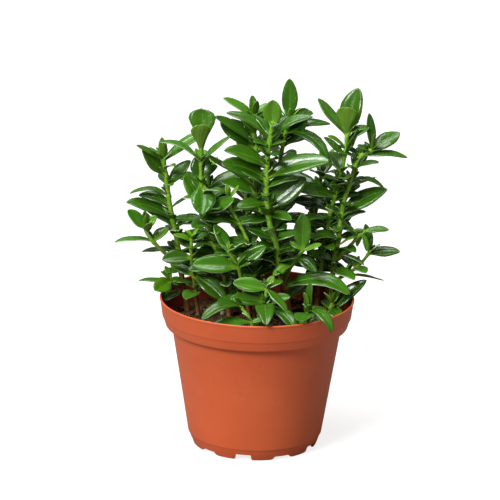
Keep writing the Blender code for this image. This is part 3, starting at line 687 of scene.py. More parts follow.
# %% shoot_front_centre
grow("shoot_front_centre", [
    dict(route=[(-2, -8, 92), (-2, -8, 130), (-4, -9, 160), (-10, -8, 182), (-17, -8, 196),
                (-23, -8, 207), (-26, -8, 217)],
         radii=(2.3, 1.3),
         leaves=pair(180, 300, 26, 20, (74, 25), droop=8, width=0.52)
         + pair(194, 188, 33, 26, 30, droop=44, lean=25)
         + pair(206, 172, 25, 23, 38, droop=34, lean=25)
         + pair(168, 188, 32, 34, 32, droop=46, lean=30)
         + pair(150, 240, 28, 31, 28, droop=44, lean=10)
         + pair(134, 150, 30, 31, 24, lean=30)
         + pair(160, 110, 24, 22, 40)
         + tuft(218, 20, 15)),
])

# %% [markdown]
# ### The shoots on the left
# On the left one long shoot leans out and branches twice. A shorter one stands in front of it, and
# an inner one ends in a cup of spoon-shaped leaves.

# %% shoot_left_tall
grow("shoot_left_tall", [
    dict(route=[(-58, 24, 92), (-60, 24, 110), (-63, 22, 126), (-66, 20, 150), (-70, 17, 178),
                (-75, 14, 203), (-78, 12, 226), (-81, 9, 246)],
         radii=(2.9, 1.9),
         leaves=pair(144, 205, 17, 24, 15)
         + pair(161, 172, 32, 26, 14, droop=35, lean=5)
         + pair(178, 285, 22, 26, 15)
         + pair(191, 187, 43, 26, (40, 10), droop=38, lean=30, width=0.38)
         + pair(190, 255, 17, 0, 45, droop=30, lean=20, width=0.44)
         + pair(211, 172, 36, 0, 40, droop=78, lean=5, width=0.28)
         + pair(221, 5, 29, 0, 54, droop=12, lean=40, width=0.46)
         + pair(230, 188, 31, 0, 56, droop=14, lean=45, width=0.54)
         + pair(222, 285, 16, 22, 30, droop=40)
         + pair(243, 8, 45, 27, (46, 34), droop=24, lean=30, width=0.27)
         + pair(245, 110, 18, 16, 80, droop=6, lean=0, width=0.40)
         + pair(247, 200, 15, 15, 74, droop=6, lean=20, width=0.40)),
    dict(route=[(-66, 19, 148), (-75, 12, 158), (-84, 7, 168), (-92, 4, 178), (-96, 3, 187)],
         radii=(2.0, 1.4),
         leaves=pair(173, 182, 34, 0, 24, droop=50, lean=10, width=0.27)
         + pair(174, 30, 18, 0, 48, width=0.60)
         + pair(182, 100, 20, 17, 58)
         + pair(186, 192, 22, 14, 52, droop=12, lean=45, width=0.60)
         + pair(186, 105, 15, 12, 80, droop=6, lean=0, width=0.40)),
    dict(route=[(-61, 23, 120), (-67, 19, 127), (-74, 12, 137)],
         radii=(1.8, 1.3),
         leaves=pair(126, 195, 24, 0, -12, droop=10, lean=20)
         + pair(136, 176, 28, 22, 12, droop=25, lean=10, width=0.32)
         + pair(137, 210, 21, 12, 2, droop=25, lean=60, width=0.74)),
])

# %% shoot_left_short
grow("shoot_left_short", [
    dict(route=[(-48, 12, 92), (-51, 7, 120), (-54, 0, 145), (-56, -4, 163), (-56, -6, 180)],
         radii=(2.1, 1.4),
         leaves=pair(146, 330, 36, 24, (-14, 30), lean=30, width=0.52)
         + pair(130, 255, 30, 24, 24, droop=40, lean=20, width=0.50)
         + pair(162, 186, 25, 30, (8, 12), droop=20, lean=50, width=0.56)
         + pair(171, 120, 22, 22, 35, lean=40, width=0.50)
         + pair(178, 190, 17, 16, 35)
         + tuft(184, 30, 12)),
])

# %% shoot_left_inner
grow("shoot_left_inner", [
    dict(route=[(-22, 4, 92), (-25, 2, 124), (-30, -2, 158), (-37, -4, 175), (-41, -6, 191),
                (-45, -6, 207), (-48, -5, 225), (-49, -4, 242), (-49, -4, 262)],
         radii=(2.6, 1.4),
         leaves=pair(255, 272, 26, 36, (78, 78), droop=6, lean=0, width=0.64, spoon=True)
         + pair(245, 178, 42, 0, 62, droop=72, lean=5, width=0.26)
         + pair(245, 358, 35, 0, 54, droop=20, lean=20, width=0.26)
         + pair(231, 90, 22, 0, 72, droop=4, lean=0, width=0.84)
         + pair(226, 272, 27, 0, -38, droop=20, lean=0, width=0.80)
         + pair(204, 165, 35, 30, (62, 34), droop=12, lean=45, width=0.50)
         + pair(190, 60, 32, 30, 38, droop=50)
         + pair(173, 165, 34, 33, 34, droop=50, lean=30)
         + pair(154, 15, 34, 31, 32, droop=50, lean=30)
         + pair(140, 95, 26, 24, 24)),
])

# %% [markdown]
# ### The shoots on the right
# The right side is the most open. Its long shoot leans out with two side shoots, and the inner one
# ends in a cup of leaves like the left one.

# %% shoot_right_tall
grow("shoot_right_tall", [
    dict(route=[(58, 23, 92), (60, 22, 124), (64, 20, 142), (65, 19, 156), (68, 17, 174),
                (70, 15, 194), (72, 12, 210), (76, 10, 226), (80, 8, 239), (84, 7, 250),
                (94, 5, 257)],
         radii=(2.9, 1.7),
         leaves=pair(148, 125, 30, 31, 12)
         + pair(198, 4, 44, 28, (40, 30), droop=20, lean=45, width=0.40)
         + pair(227, 352, 31, 30, (34, 40), droop=80, lean=5, width=0.30)
         + pair(223, 25, 26, 18, 34, droop=6, lean=-25, width=0.42)
         + pair(251, 0, 39, 25, (18, 34), droop=38, lean=15, width=0.28)
         + pair(256, 28, 31, 14, 32, droop=16, lean=35, width=0.48)
         + pair(257, 118, 31, 15, 84, droop=14, width=0.26)
         + pair(176, 175, 32, 25, 32, droop=50, lean=25)
         + pair(185, 262, 24, 35, 34, droop=50, lean=10)
         + pair(207, 280, 22, 33, 38, droop=50, lean=10)
         + pair(238, 250, 18, 31, 44, droop=30)),
    dict(route=[(67, 18, 157), (73, 12, 166), (80, 4, 176), (84, 0, 183), (90, -2, 188)],
         radii=(1.8, 1.3),
         leaves=pair(162, 330, 24, 0, 12, droop=50, lean=0, width=0.24)
         + pair(181, 195, 36, 0, 54, droop=8, lean=10, width=0.22)
         + pair(184, 178, 19, 0, 15, lean=0, width=0.34)
         + pair(186, 300, 16, 16, -45, lean=0, width=0.36)
         + pair(188, 2, 20, 10, 16, droop=24, lean=30, width=0.40)),
    dict(route=[(62, 21, 133), (74, 16, 144), (83, 12, 151), (90, 8, 160), (94, 5, 167)],
         radii=(1.9, 1.3),
         leaves=pair(144, 352, 34, 0, 8, droop=26, lean=-20, width=0.36)
         + pair(152, 110, 28, 23, 20)
         + pair(166, 4, 27, 0, 12, droop=16, lean=35, width=0.42)
         + pair(167, 128, 25, 14, 80, droop=8, width=0.36)),
])

# %% shoot_right_inner
grow("shoot_right_inner", [
    dict(route=[(50, 22, 92), (52, 23, 129), (55, 22, 156), (58, 20, 180), (61, 16, 200),
                (65, 12, 218), (69, 8, 236), (71, 6, 251), (73, 5, 271)],
         radii=(2.6, 1.7),
         leaves=pair(267, 262, 28, 0, 82, droop=6, lean=0, width=0.62, spoon=True)
         + pair(270, 55, 40, 0, 72, droop=8, lean=20, width=0.52)
         + pair(269, 150, 40, 0, 66, droop=8, lean=10, width=0.34)
         + pair(275, 5, 20, 0, 36, droop=50, lean=30, width=0.34)
         + pair(253, 5, 29, 0, 52, droop=-26, lean=-20, width=0.42)
         + pair(250, 160, 24, 0, 56, droop=14, width=0.32)
         + pair(213, 195, 37, 29, 38, droop=50, lean=30)
         + pair(200, 165, 36, 22, 34, droop=50, lean=30, width=0.44)
         + pair(228, 105, 30, 25, (40, 44), droop=50)
         + pair(186, 190, 33, 29, 34, droop=50, lean=25)
         + pair(168, 285, 26, 31, 32, droop=50, lean=10)
         + pair(150, 200, 30, 29, 28, lean=30)),
])

# %% shoot_right_low
grow("shoot_right_low", [
    dict(route=[(58, -4, 92), (61, -4, 112), (64, -4, 126)],
         radii=(1.9, 1.3),
         leaves=pair(116, 14, 42, 22, (50, 24), droop=18, lean=35, width=0.32)
         + pair(120, 285, 24, 24, 15)
         + tuft(127, 40, 17)),
])

# %% [markdown]
# ### The low shoots in front
# Short shoots fill the front, and some of their leaves reach the rim and hang over it.

# %% shoot_front_left
grow("shoot_front_left", [
    dict(route=[(-4, -24, 92), (-8, -23, 126), (-14, -24, 152), (-17, -25, 162),
                (-25, -26, 176)],
         radii=(2.1, 1.5),
         leaves=pair(130, 205, 28, 26, 24, droop=40, lean=30)
         + pair(146, 110, 26, 24, (28, 20), droop=44)
         + pair(161, 184, 38, 30, (14, 48), droop=20, lean=55, width=0.44)
         + pair(174, 140, 27, 20, (56, 40), droop=8, lean=0, width=0.56)
         + tuft(177, 300, 10)),
])

# %% shoot_front_low
grow("shoot_front_low", [
    dict(route=[(4, -44, 92), (5, -43, 120), (8, -43, 149)],
         radii=(2.1, 1.6),
         leaves=pair(133, 272, 49, 0, 20, droop=82, lean=0, width=0.34)
         + pair(132, 292, 45, 0, 18, droop=76, lean=0, width=0.36)
         + pair(148, 184, 29, 0, 24, droop=26, lean=50, width=0.46)
         + pair(148, 318, 26, 0, -36, droop=24, lean=0, width=0.50)
         + pair(147, 258, 27, 0, -38, droop=24, lean=0, width=0.46)
         + pair(148, 60, 14, 0, 50, droop=20, width=0.50)
         + pair(136, 188, 30, 22, (12, 24), droop=24, lean=50, width=0.40)),
])

# %% shoot_front_left_low
grow("shoot_front_left_low", [
    dict(route=[(-2, -52, 92), (-2, -52, 110), (-6, -50, 124), (-14, -46, 134)],
         radii=(1.9, 1.3),
         leaves=pair(133, 212, 42, 18, (34, 44), droop=86, lean=20, width=0.30)
         + pair(121, 193, 33, 16, (16, 24), droop=30, lean=25, width=0.36)
         + pair(114, 60, 20, 0, 30)),
])

# %% shoot_front_right_low
grow("shoot_front_right_low", [
    dict(route=[(41, -46, 92), (42, -47, 114), (43, -47, 136)],
         radii=(1.9, 1.3),
         leaves=pair(128, 308, 40, 0, 44, droop=132, lean=0, width=0.32)
         + pair(129, 258, 31, 0, 4, droop=36, lean=0, width=0.56)
         + pair(124, 100, 24, 0, 80, droop=8, lean=0, width=0.32)
         + pair(134, 36, 22, 15, (62, 74), droop=8, lean=0, width=0.42)
         + pair(118, 10, 24, 20, (34, 30))),
])

# %% [markdown]
# ### The shoots at the back
# The picture doesn't show the back, so three plain shoots of the same habit fill it.

# %% shoot_back_left
grow("shoot_back_left", [
    dict(route=[(-34, 46, 92), (-36, 48, 124), (-40, 50, 156), (-43, 52, 190), (-44, 52, 222)],
         radii=(2.6, 1.6),
         leaves=pair(124, 125, 34, 33, 12)
         + pair(142, 35, 36, 37, 15)
         + pair(160, 115, 36, 26, 20)
         + pair(178, 20, 34, 34, 22)
         + pair(194, 110, 36, 26, 30)
         + pair(208, 15, 35, 37, 38)
         + pair(219, 100, 30, 29, 50)
         + tuft(224, 40, 17)),
])

# %% shoot_back_right
grow("shoot_back_right", [
    dict(route=[(40, 48, 92), (43, 50, 124), (46, 51, 156), (49, 50, 190), (52, 48, 214),
                (54, 47, 232)],
         radii=(2.6, 1.6),
         leaves=pair(124, 60, 34, 31, 12)
         + pair(142, 330, 36, 35, 15)
         + pair(160, 65, 36, 26, 20)
         + pair(178, 160, 34, 34, 20)
         + pair(194, 70, 36, 26, 25)
         + pair(210, 160, 34, 33, 32)
         + pair(222, 75, 32, 28, 38)
         + tuft(234, 30, 18)),
])

# %% shoot_back_centre
grow("shoot_back_centre", [
    dict(route=[(-4, 54, 92), (-6, 55, 124), (-8, 56, 156), (-10, 56, 188), (-12, 56, 216),
                (-13, 55, 240)],
         radii=(2.5, 1.6),
         leaves=pair(124, 80, 30, 24, 10)
         + pair(141, 5, 32, 30, 14)
         + pair(160, 95, 34, 26, 18)
         + pair(179, 5, 34, 34, 22)
         + pair(196, 95, 34, 24, 28)
         + pair(212, 5, 33, 33, 34)
         + pair(227, 90, 30, 26, 44)
         + tuft(241, 45, 18)),
])

# %% [markdown]
# ## Which way each leaf settled
# When the plain solids were made, a leaf that would have touched a neighbour was turned, lifted or
# shortened a little. The solid still has the tip of every leaf as one of its corners, so the form
# that a leaf took is found by trying its forms in the same order until a tip meets a corner. That
# keeps the dressed leaves exactly where the solid ones are.

# %% The forms that a leaf may take
STATIONS = {  # where the plain leaves bend, as shares of their length
    "oval": (0.14, 0.38, 0.70, 1.0),
    "spoon": (0.18, 0.50, 0.80, 1.0),
    "short": (0.28, 0.64, 1.0),
}
LONG_LEAF, SMALLEST_LEAF = 25, 7.0
FORM_SIZES = (1.0, 0.86, 0.72)
FORM_TURNS = ((0, 0), (0, 9), (0, -9), (11, 0), (-11, 0), (11, 9), (-11, 9), (0, 18), (0, -18),
              (22, 0), (-22, 0), (22, 14), (-22, 14), (33, 6), (-33, 6), (0, 28), (0, -28))
CORNER_MATCH = 0.02 * MM


def kind_of(leaf):
    if leaf["spoon"]:
        return "spoon"
    return "oval" if leaf["length"] >= LONG_LEAF else "short"


def outward_of(leaf):
    around = math.radians(leaf["azimuth"])
    return Vector((math.cos(around), math.sin(around), 0.0))


def direction(outward, slope):
    return outward * math.cos(slope) + Vector((0, 0, 1)) * math.sin(slope)


def follow_arch(root, leaf, shares):
    """The middle of an arched leaf at shares of its length, by short straight steps."""
    outward = outward_of(leaf)
    place, before, places = Vector(root), 0.0, []
    for share in shares:
        slope = math.radians(leaf["rise"] - leaf["droop"] * (before + share) / 2)
        place = place + direction(outward, slope) * leaf["length"] * MM * (share - before)
        places.append(place)
        before = share
    return places


def bent_forms(leaf):
    """The forms that a leaf may take, the one that was drawn first."""
    for size in FORM_SIZES:
        for turn, lift in FORM_TURNS:
            form = dict(leaf, length=leaf["length"] * size, azimuth=leaf["azimuth"] + turn,
                        rise=leaf["rise"] + lift)
            if form["length"] >= SMALLEST_LEAF:
                yield form


print("each leaf has", len(FORM_SIZES) * len(FORM_TURNS), "forms")

# %% Find the form that each leaf took
def place_at_height(route, height):
    """The point, in metres, where a stem passes a height in millimetres."""
    for low, high in zip(route, route[1:]):
        if height <= high[2]:
            return Vector(low).lerp(Vector(high), (height - low[2]) / (high[2] - low[2])) * MM
    return Vector(route[-1]) * MM


def corners_of(node):
    """A plain solid's corners, ready to be searched by place."""
    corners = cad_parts[node].data.vertices
    tree = kdtree.KDTree(len(corners))
    for number, corner in enumerate(corners):
        tree.insert(corner.co, number)
    tree.balance()
    return tree


settled, not_found = {}, 0
for name, stems in shoots.items():
    corners = corners_of(name)
    settled[name] = []
    for stem in stems:
        for leaf in stem["leaves"]:
            root = place_at_height(stem["route"], leaf["height"])
            for form in bent_forms(leaf):
                tip = follow_arch(root, form, STATIONS[kind_of(form)])[-1]
                if corners.find(tip)[2] < CORNER_MATCH:
                    settled[name].append((root, form))
                    break
            else:
                not_found += 1
print(sum(map(len, settled.values())), "leaves found,", not_found, "left out of the solids")

# %% [markdown]
# ## Small leaves between the large ones
# On the real plant, buds break in the angle between a leaf and its stem, and short leaves fill the
# gaps between the pairs and hide most of each stem. They are too small and too crowded to be solids
# of their own, so they are added here, on the same stems and mostly inside the foliage. The crowns
# of six tall shoots are drawn one by one, and chance with a fixed seed gives the rest.

# %% Write down the small leaves
FILL_FROM, FILL_STEP, FILL_BELOW_TOP, FILL_CLEAR = 146, 9, 26, 3
BUDS_FROM_LENGTH = 26
TALL_STEM, ROOTED_BELOW = 175, 100
# Leaves that crowd round a stem's top: height, azimuth, length, rise, droop and width.
CROWNS = {
    "shoot_centre": ((271, 150, 24, 64, 40, 0.36), (271, 35, 24, 60, 40, 0.36),
                     (262, 330, 18, 44, 40, 0.44), (262, 215, 18, 44, 40, 0.44),
                     (250, 300, 18, 40, 40, 0.44)),
    "shoot_centre_back": ((266, 5, 40, 40, 56, 0.30), (276, 170, 25, 42, 30, 0.36),
                          (262, 200, 26, 50, 50, 0.40), (254, 15, 26, 40, 50, 0.40)),
    "shoot_centre_left": ((272, 25, 24, 60, 40, 0.40), (268, 150, 24, 56, 40, 0.36),
                          (262, 330, 22, 44, 40, 0.40), (250, 0, 28, 44, 40, 0.40)),
    "shoot_left_tall": ((243, 200, 18, 60, 30, 0.40), (236, 300, 20, 40, 40, 0.40)),
    "shoot_right_inner": ((262, 0, 24, 50, 30, 0.36), (258, 200, 20, 50, 30, 0.36)),
    "shoot_right_tall": ((248, 200, 22, 40, 40, 0.36), (240, 330, 24, 40, 40, 0.40),
                         (246, 60, 18, 60, 30, 0.40)),
}
bud_luck = random.Random(11)


def small_leaf(height, azimuth, length, rise, droop):
    return dict(height=height, azimuth=azimuth, length=length, rise=rise, droop=droop,
                lean=bud_luck.uniform(5, 30), width=bud_luck.uniform(0.34, 0.46), spoon=False)


def buds_beside(leaf):
    """Two buds at the foot of a large leaf, one to each side."""
    return [small_leaf(leaf["height"] + 1, leaf["azimuth"] + side * bud_luck.uniform(25, 50),
                       bud_luck.uniform(8, 14), bud_luck.uniform(50, 76), 24) for side in (-1, 1)]


def fill_between(stem):
    """Short pairs up a stem, wherever a level is free of large leaves."""
    taken = [leaf["height"] for leaf in stem["leaves"]]
    around = bud_luck.uniform(0, 360)
    height = FILL_FROM
    while height < stem["route"][-1][2] - FILL_BELOW_TOP:
        if min(abs(height - other) for other in taken) > FILL_CLEAR:
            for side in (0, 180):
                yield small_leaf(height, around + side, bud_luck.uniform(20, 31),
                                 bud_luck.uniform(36, 62), bud_luck.uniform(40, 70))
        around += bud_luck.uniform(60, 120)
        height += FILL_STEP


print("leaves in crowns:", sum(map(len, CROWNS.values())))

# %% Add them to their shoots
added = 0
for name, stems in shoots.items():
    for stem in stems:
        extra = [bud for leaf in stem["leaves"]
                 if leaf["length"] > BUDS_FROM_LENGTH and not leaf["spoon"]
                 for bud in buds_beside(leaf)]
        if stem["route"][-1][2] > TALL_STEM and stem["route"][0][2] < ROOTED_BELOW:
            extra += fill_between(stem)
        settled[name] += [(place_at_height(stem["route"], leaf["height"]), leaf) for leaf in extra]
        added += len(extra)
    tallest = max(stems, key=lambda stem: stem["route"][-1][2])
    for height, azimuth, length, rise, droop, width in CROWNS.get(name, ()):
        leaf = dict(small_leaf(height, azimuth, length, rise, droop), width=width)
        settled[name].append((place_at_height(tallest["route"], height), leaf))
        added += 1
print(added, "small leaves added")

# %% [markdown]
# ## Leaf and stem finishes
# The leaves are thick and waxy. Above they are dark and glossy, with a paler midrib, faint side
# veins and a short light stalk, and on some of them a fine pale edge along the margin is a painted
# highlight. Below they are duller and more of an olive green. Young leaves are a brighter
# yellow-green.
# The lines follow the leaf, so they read its own UV map: U runs across it and V from stalk to tip.
# One node group draws them for both sides. Each leaf also carries its own age and tone as
# attributes, because one green for all of them would look like plastic.

# %% A node group for the lines of a leaf
line_group, line_in, line_out = new_group(
    "leaf_lines",
    [("UV", "NodeSocketVector", None), ("Vein pairs", "NodeSocketFloat", 7.0)],
    [("Midrib", "NodeSocketFloat"), ("Margin", "NodeSocketFloat"), ("Veins", "NodeSocketFloat"),
     ("Stalk", "NodeSocketFloat"), ("Height", "NodeSocketFloat")],
)
parts = line_group.nodes.new("ShaderNodeSeparateXYZ")
line_group.links.new(line_in.outputs["UV"], parts.inputs[0])
across, upwards = parts.outputs["X"], parts.outputs["Y"]
from_middle = maths(line_group, "ABSOLUTE", maths(line_group, "SUBTRACT", across, 0.5))
off_middle = times(line_group, from_middle, 2.0)
thinning = times(line_group, upwards, 0.07)
midrib = fade(line_group, maths(line_group, "ADD", off_middle, thinning), 0.12, 0.05)
rounded_end = times(line_group, off_middle, 0.05)
stalk = fade(line_group, maths(line_group, "ADD", upwards, rounded_end), 0.25, 0.07)
# The margin mask places a painted highlight: the pale edge on some leaves.
margin = fade(line_group, off_middle, 0.93, 1.0)
swept = maths(line_group, "SUBTRACT", upwards, times(line_group, off_middle, 0.20))
turns = times(line_group, swept, line_in.outputs["Vein pairs"])
wave = maths(line_group, "SINE", times(line_group, turns, math.tau))
veins = times(line_group, fade(line_group, wave, 0.80, 1.0),
              fade(line_group, off_middle, 0.97, 0.70))
groove = maths(line_group, "ADD", midrib, times(line_group, veins, 0.35), clamp=True)
for label, socket in (("Midrib", midrib), ("Margin", margin), ("Veins", veins), ("Stalk", stalk),
                      ("Height", maths(line_group, "SUBTRACT", 1.0, groove))):
    line_group.links.new(socket, line_out.inputs[label])
print("group", line_group.name, "has", len(line_group.nodes), "nodes")

# %% Upper side and under side
STALK_GREEN = (0.17, 0.37, 0.018)
VEIN_PAIRS = 7.0
VEIN_SHARE, MIDRIB_SHARE, STALK_SHARE = 0.10, 0.60, 0.85


def read_attribute(tree, label):
    node = tree.nodes.new("ShaderNodeAttribute")
    node.attribute_name = label
    return node.outputs["Fac"]


def place_lines(tree):
    node = tree.nodes.new("ShaderNodeGroup")
    node.node_tree = line_group
    tree.links.new(tree.nodes.new("ShaderNodeTexCoord").outputs["UV"], node.inputs["UV"])
    node.inputs["Vein pairs"].default_value = VEIN_PAIRS
    return node


def make_leaf_side(name, dark, light, young, rib, edge, edge_highlight_share, roughness, specular):
    """Each leaf's own tone lies between dark and light, and its age turns it towards young."""
    material, tree, shader = new_material(name, roughness, specular)
    grain = place_grain(tree, 70.0, 700.0)
    lines = place_lines(tree)
    own_tone = read_attribute(tree, "tone")
    tone = maths(tree, "ADD", times(tree, grain.outputs["Patches"], 0.4), own_tone, clamp=True)
    green = mix_colour(tree, tone, dark, light)
    green = mix_colour(tree, read_attribute(tree, "young"), green, young)
    # Painted highlight: a pale edge along the margin, stronger where a leaf's tone is higher.
    painted_edge_highlight = times(tree, maths(tree, "POWER", own_tone, 3.0), edge_highlight_share)
    for share, colour in (
        (times(tree, lines.outputs["Veins"], VEIN_SHARE), rib),
        (times(tree, lines.outputs["Midrib"], MIDRIB_SHARE), rib),
        (times(tree, lines.outputs["Margin"], painted_edge_highlight), edge),
        (times(tree, lines.outputs["Stalk"], STALK_SHARE), STALK_GREEN),
    ):
        green = mix_colour(tree, share, green, colour)
    tree.links.new(green, shader.inputs["Base Color"])
    vary_roughness(tree, shader, grain.outputs["Patches"], roughness, swing=0.16)
    add_bump(tree, shader, lines.outputs["Height"], distance=0.4 * MM, strength=0.6)
    return material, shader


# The edge colours of both sides are painted highlights along the margins.
leaf_above, shader = make_leaf_side(
    "leaf_upper_side", dark=(0.009, 0.040, 0.001), light=(0.046, 0.185, 0.004),
    young=(0.16, 0.39, 0.010), rib=(0.11, 0.26, 0.030), edge=(0.55, 0.70, 0.46), edge_highlight_share=2.2,
    roughness=0.14, specular=0.42)
shader.inputs["Coat Weight"].default_value = 0.18
shader.inputs["Coat Roughness"].default_value = 0.10
leaf_below, shader = make_leaf_side(
    "leaf_under_side", dark=(0.036, 0.095, 0.008), light=(0.085, 0.185, 0.018),
    young=(0.125, 0.275, 0.014), rib=(0.15, 0.30, 0.04), edge=(0.34, 0.46, 0.20), edge_highlight_share=1.0,
    roughness=0.38, specular=0.34)
print("leaf materials:", leaf_above.name, leaf_below.name)

# %% Stem materials
BARK_DARK, BARK_LIGHT = (0.15, 0.055, 0.016), (0.36, 0.155, 0.055)
OLIVE = (0.14, 0.22, 0.016)
LIME_DARK, LIME_LIGHT = (0.15, 0.34, 0.016), (0.27, 0.52, 0.045)
OLIVE_CHANGE, LIME_CHANGE, UNEVEN_LEVEL = 0.022, 0.045, 0.012


def make_stem_skin(name, wood_ends, green_starts):
    """Bark at the foot, olive above it and fresh green higher up; heights are in metres."""
    material, tree, shader = new_material(name, roughness=0.45, specular=0.40)
    grain = place_grain(tree, 60.0, 500.0, contrast=1.1)
    split = tree.nodes.new("ShaderNodeSeparateXYZ")
    tree.links.new(tree.nodes.new("ShaderNodeTexCoord").outputs["Object"], split.inputs[0])
    patches = maths(tree, "SUBTRACT", grain.outputs["Patches"], 0.5)
    level = maths(tree, "ADD", split.outputs["Z"], times(tree, patches, UNEVEN_LEVEL))
    bark = mix_colour(tree, grain.outputs["Grain"], BARK_DARK, BARK_LIGHT)
    above_wood = fade(tree, level, wood_ends, wood_ends + OLIVE_CHANGE)
    lime = mix_colour(tree, fade(tree, grain.outputs["Grain"], 0.30, 0.70), LIME_DARK, LIME_LIGHT)
    fresh = fade(tree, level, green_starts, green_starts + LIME_CHANGE)
    tree.links.new(mix_colour(tree, fresh, mix_colour(tree, above_wood, bark, OLIVE), lime),
                   shader.inputs["Base Color"])
    add_bump(tree, shader, grain.outputs["Grain"], distance=0.4 * MM, strength=0.6)
    return material


woody_stem = make_stem_skin("stem_skin", wood_ends=0.130, green_starts=0.146)
green_stem = make_stem_skin("young_stem_skin", wood_ends=0.098, green_starts=0.100)
GREEN_SHOOTS = ("shoot_front_low", "shoot_front_left_low", "shoot_front_right_low",
                "shoot_right_low")
print("materials", woody_stem.name, green_stem.name)

# %% [markdown]
# ## One leaf, three outlines
# Every leaf is a copy of one of three patterns: a long oval, a short oval, and a spoon with a
# narrow stalk. A leaf could be drawn as a flat outline and filled, but a grid keeps even faces that
# bend well and brings a UV map along. A pattern is such a grid of a few dozen faces, one unit long
# and at most one unit to each side. Its rows are scaled to the outline, and its halves are folded
# up from the midrib and flattened again towards the margin, as a waxy leaf's are.

# %% Model the leaf patterns
OUTLINES = {  # half-widths of the rows, from stalk to tip
    "oval": (0.28, 0.33, 0.64, 0.90, 0.98, 0.92, 0.74, 0.50, 0.26, 0.0),
    "short": (0.30, 0.44, 0.74, 0.92, 0.96, 0.90, 0.74, 0.52, 0.28, 0.0),
    "spoon": (0.15, 0.18, 0.25, 0.40, 0.62, 0.86, 1.00, 0.86, 0.52, 0.0),
}
ROW_PLACES = (0.0, 0.09, 0.22, 0.36, 0.50, 0.64, 0.78, 0.89, 0.96, 1.0)
ROWS = len(ROW_PLACES)
ASIDE = 10  # rows that are done wait this far below, so that they aren't picked twice


def row_of(vertex):
    return min(range(ROWS), key=lambda row: abs(ROW_PLACES[row] - vertex.co.y))


def model_leaf(name, outline):
    put_everything_down()
    bpy.ops.mesh.primitive_grid_add(x_subdivisions=6, y_subdivisions=ROWS - 1, size=2.0)
    leaf = settle(bpy.context.object, "pattern_" + name)
    open_up(leaf)
    for row, (place, wide) in enumerate(zip(ROW_PLACES, outline)):
        at = -1.0 + 2.0 * row / (ROWS - 1)
        pick("VERT", lambda vertex, middle: abs(middle.y - at) < 0.01 and middle.z > -ASIDE / 2)
        bpy.ops.transform.resize(value=(wide, 1.0, 1.0), center_override=(0, 0, 0))
        bpy.ops.transform.translate(value=(0, place - at, -ASIDE))
    bpy.ops.mesh.select_all(action="SELECT")
    bpy.ops.transform.translate(value=(0, 0, ASIDE))
    bpy.ops.mesh.remove_doubles(threshold=0.0001)
    bpy.ops.object.mode_set(mode="OBJECT")
    for vertex in leaf.data.vertices:
        wide = outline[row_of(vertex)]
        across = min(1.0, abs(vertex.co.x) / max(wide, 0.01))
        vertex.co.z = wide * (0.34 * across - 0.16 * across ** 3 - 0.12)
    for label in ("young", "tone"):
        leaf.data.attributes.new(label, "FLOAT", "POINT")
    return leaf


patterns = {name: model_leaf(name, outline) for name, outline in OUTLINES.items()}
print({name: len(leaf.data.polygons) for name, leaf in patterns.items()}, "faces")

# %% [markdown]
# ## Setting the leaves
# A copy of a pattern is laid along its arch: each row of points moves to its place on the arch and
# turns with it. Curve and lattice modifiers could bend the copies too, but here the tip has to land
# on the plain leaf's own tip. A twist, a sway and a wave along the margin, different for every
# leaf, keep the plant from looking stamped. The leaves of a shoot are then joined and given their
# thickness together, with the duller finish on the side that faces down.

# %% Lay a copy of a pattern along an arch
MARGIN_WAVES, MARGIN_SHIFT = 9, 0.9  # radians from stalk to tip, and between the two margins
# Painted shade: a leaf that stands up steeper than this faces the lamps, so its tone is made
# darker.
STEEP_PAINTED_SHADE = 70  # a leaf that stands up steeper than this keeps a darker tone
FINE = [step / 24 for step in range(1, 25)]
luck = random.Random(4)


def arch_frames(root, leaf):
    """Centre, up and side at each row of the pattern; the tip is the solid's own tip."""
    outward = outward_of(leaf)
    fine = [Vector(root)] + follow_arch(root, leaf, FINE)
    miss = follow_arch(root, leaf, STATIONS[kind_of(leaf)])[-1] - fine[-1]
    frames = []
    for place in ROW_PLACES:
        spot = place * len(FINE)
        low = min(int(spot), len(FINE) - 1)
        centre = fine[low].lerp(fine[low + 1], spot - low) + miss * place
        slope = math.radians(leaf["rise"] - leaf["droop"] * place)
        along, upright = direction(outward, slope), direction(outward, slope + math.pi / 2)
        flat_side = along.cross(upright)
        turn = -math.radians(leaf["lean"]) * flat_side.y
        up = upright * math.cos(turn) + flat_side * math.sin(turn)
        frames.append((centre, up, along.cross(up)))
    return frames


def set_leaf(root, leaf, age):
    """A copy of the leaf's pattern on its arch, with its own twist, wave, sway and fold."""
    copy = copy_of(patterns[kind_of(leaf)])
    half = leaf["length"] * MM * leaf["width"] / 2
    twist = luck.uniform(-9, 9)
    wave, phase = luck.uniform(0.04, 0.13), luck.uniform(0, math.tau)
    sway, fold = luck.uniform(-0.14, 0.14), luck.uniform(0.6, 2.0)
    frames = arch_frames(root, leaf)
    for vertex in copy.data.vertices:
        row = row_of(vertex)
        place = ROW_PLACES[row]
        centre, up, side = frames[row]
        turn = math.radians(twist) * place
        x = vertex.co.x + sway * math.sin(math.pi * place)
        other_side = MARGIN_SHIFT if vertex.co.x > 0 else 0.0
        ripple = math.sin(MARGIN_WAVES * place + phase + other_side)
        z = vertex.co.z * fold + wave * abs(vertex.co.x) * ripple
        across = side * math.cos(turn) + up * math.sin(turn)
        above = up * math.cos(turn) - side * math.sin(turn)
        vertex.co = centre + (across * x + above * z) * half
    count = len(copy.data.vertices)
    # A steep leaf's tone is lowered, which is painted shade.
    tone = luck.triangular(0.0, 1.0, 0.0) * (0.4 if leaf["rise"] > STEEP_PAINTED_SHADE else 1.0)
    copy.data.attributes["young"].data.foreach_set("value", [age] * count)
    copy.data.attributes["tone"].data.foreach_set("value", [tone] * count)
    return copy


print("an arch is followed in", len(FINE), "steps")

# %% Set the leaves of each shoot
LEAF_THICK = 0.75 * MM
OUTER_SHARE = -0.2  # how the thickness lies about the pattern; -1 would put all of it below


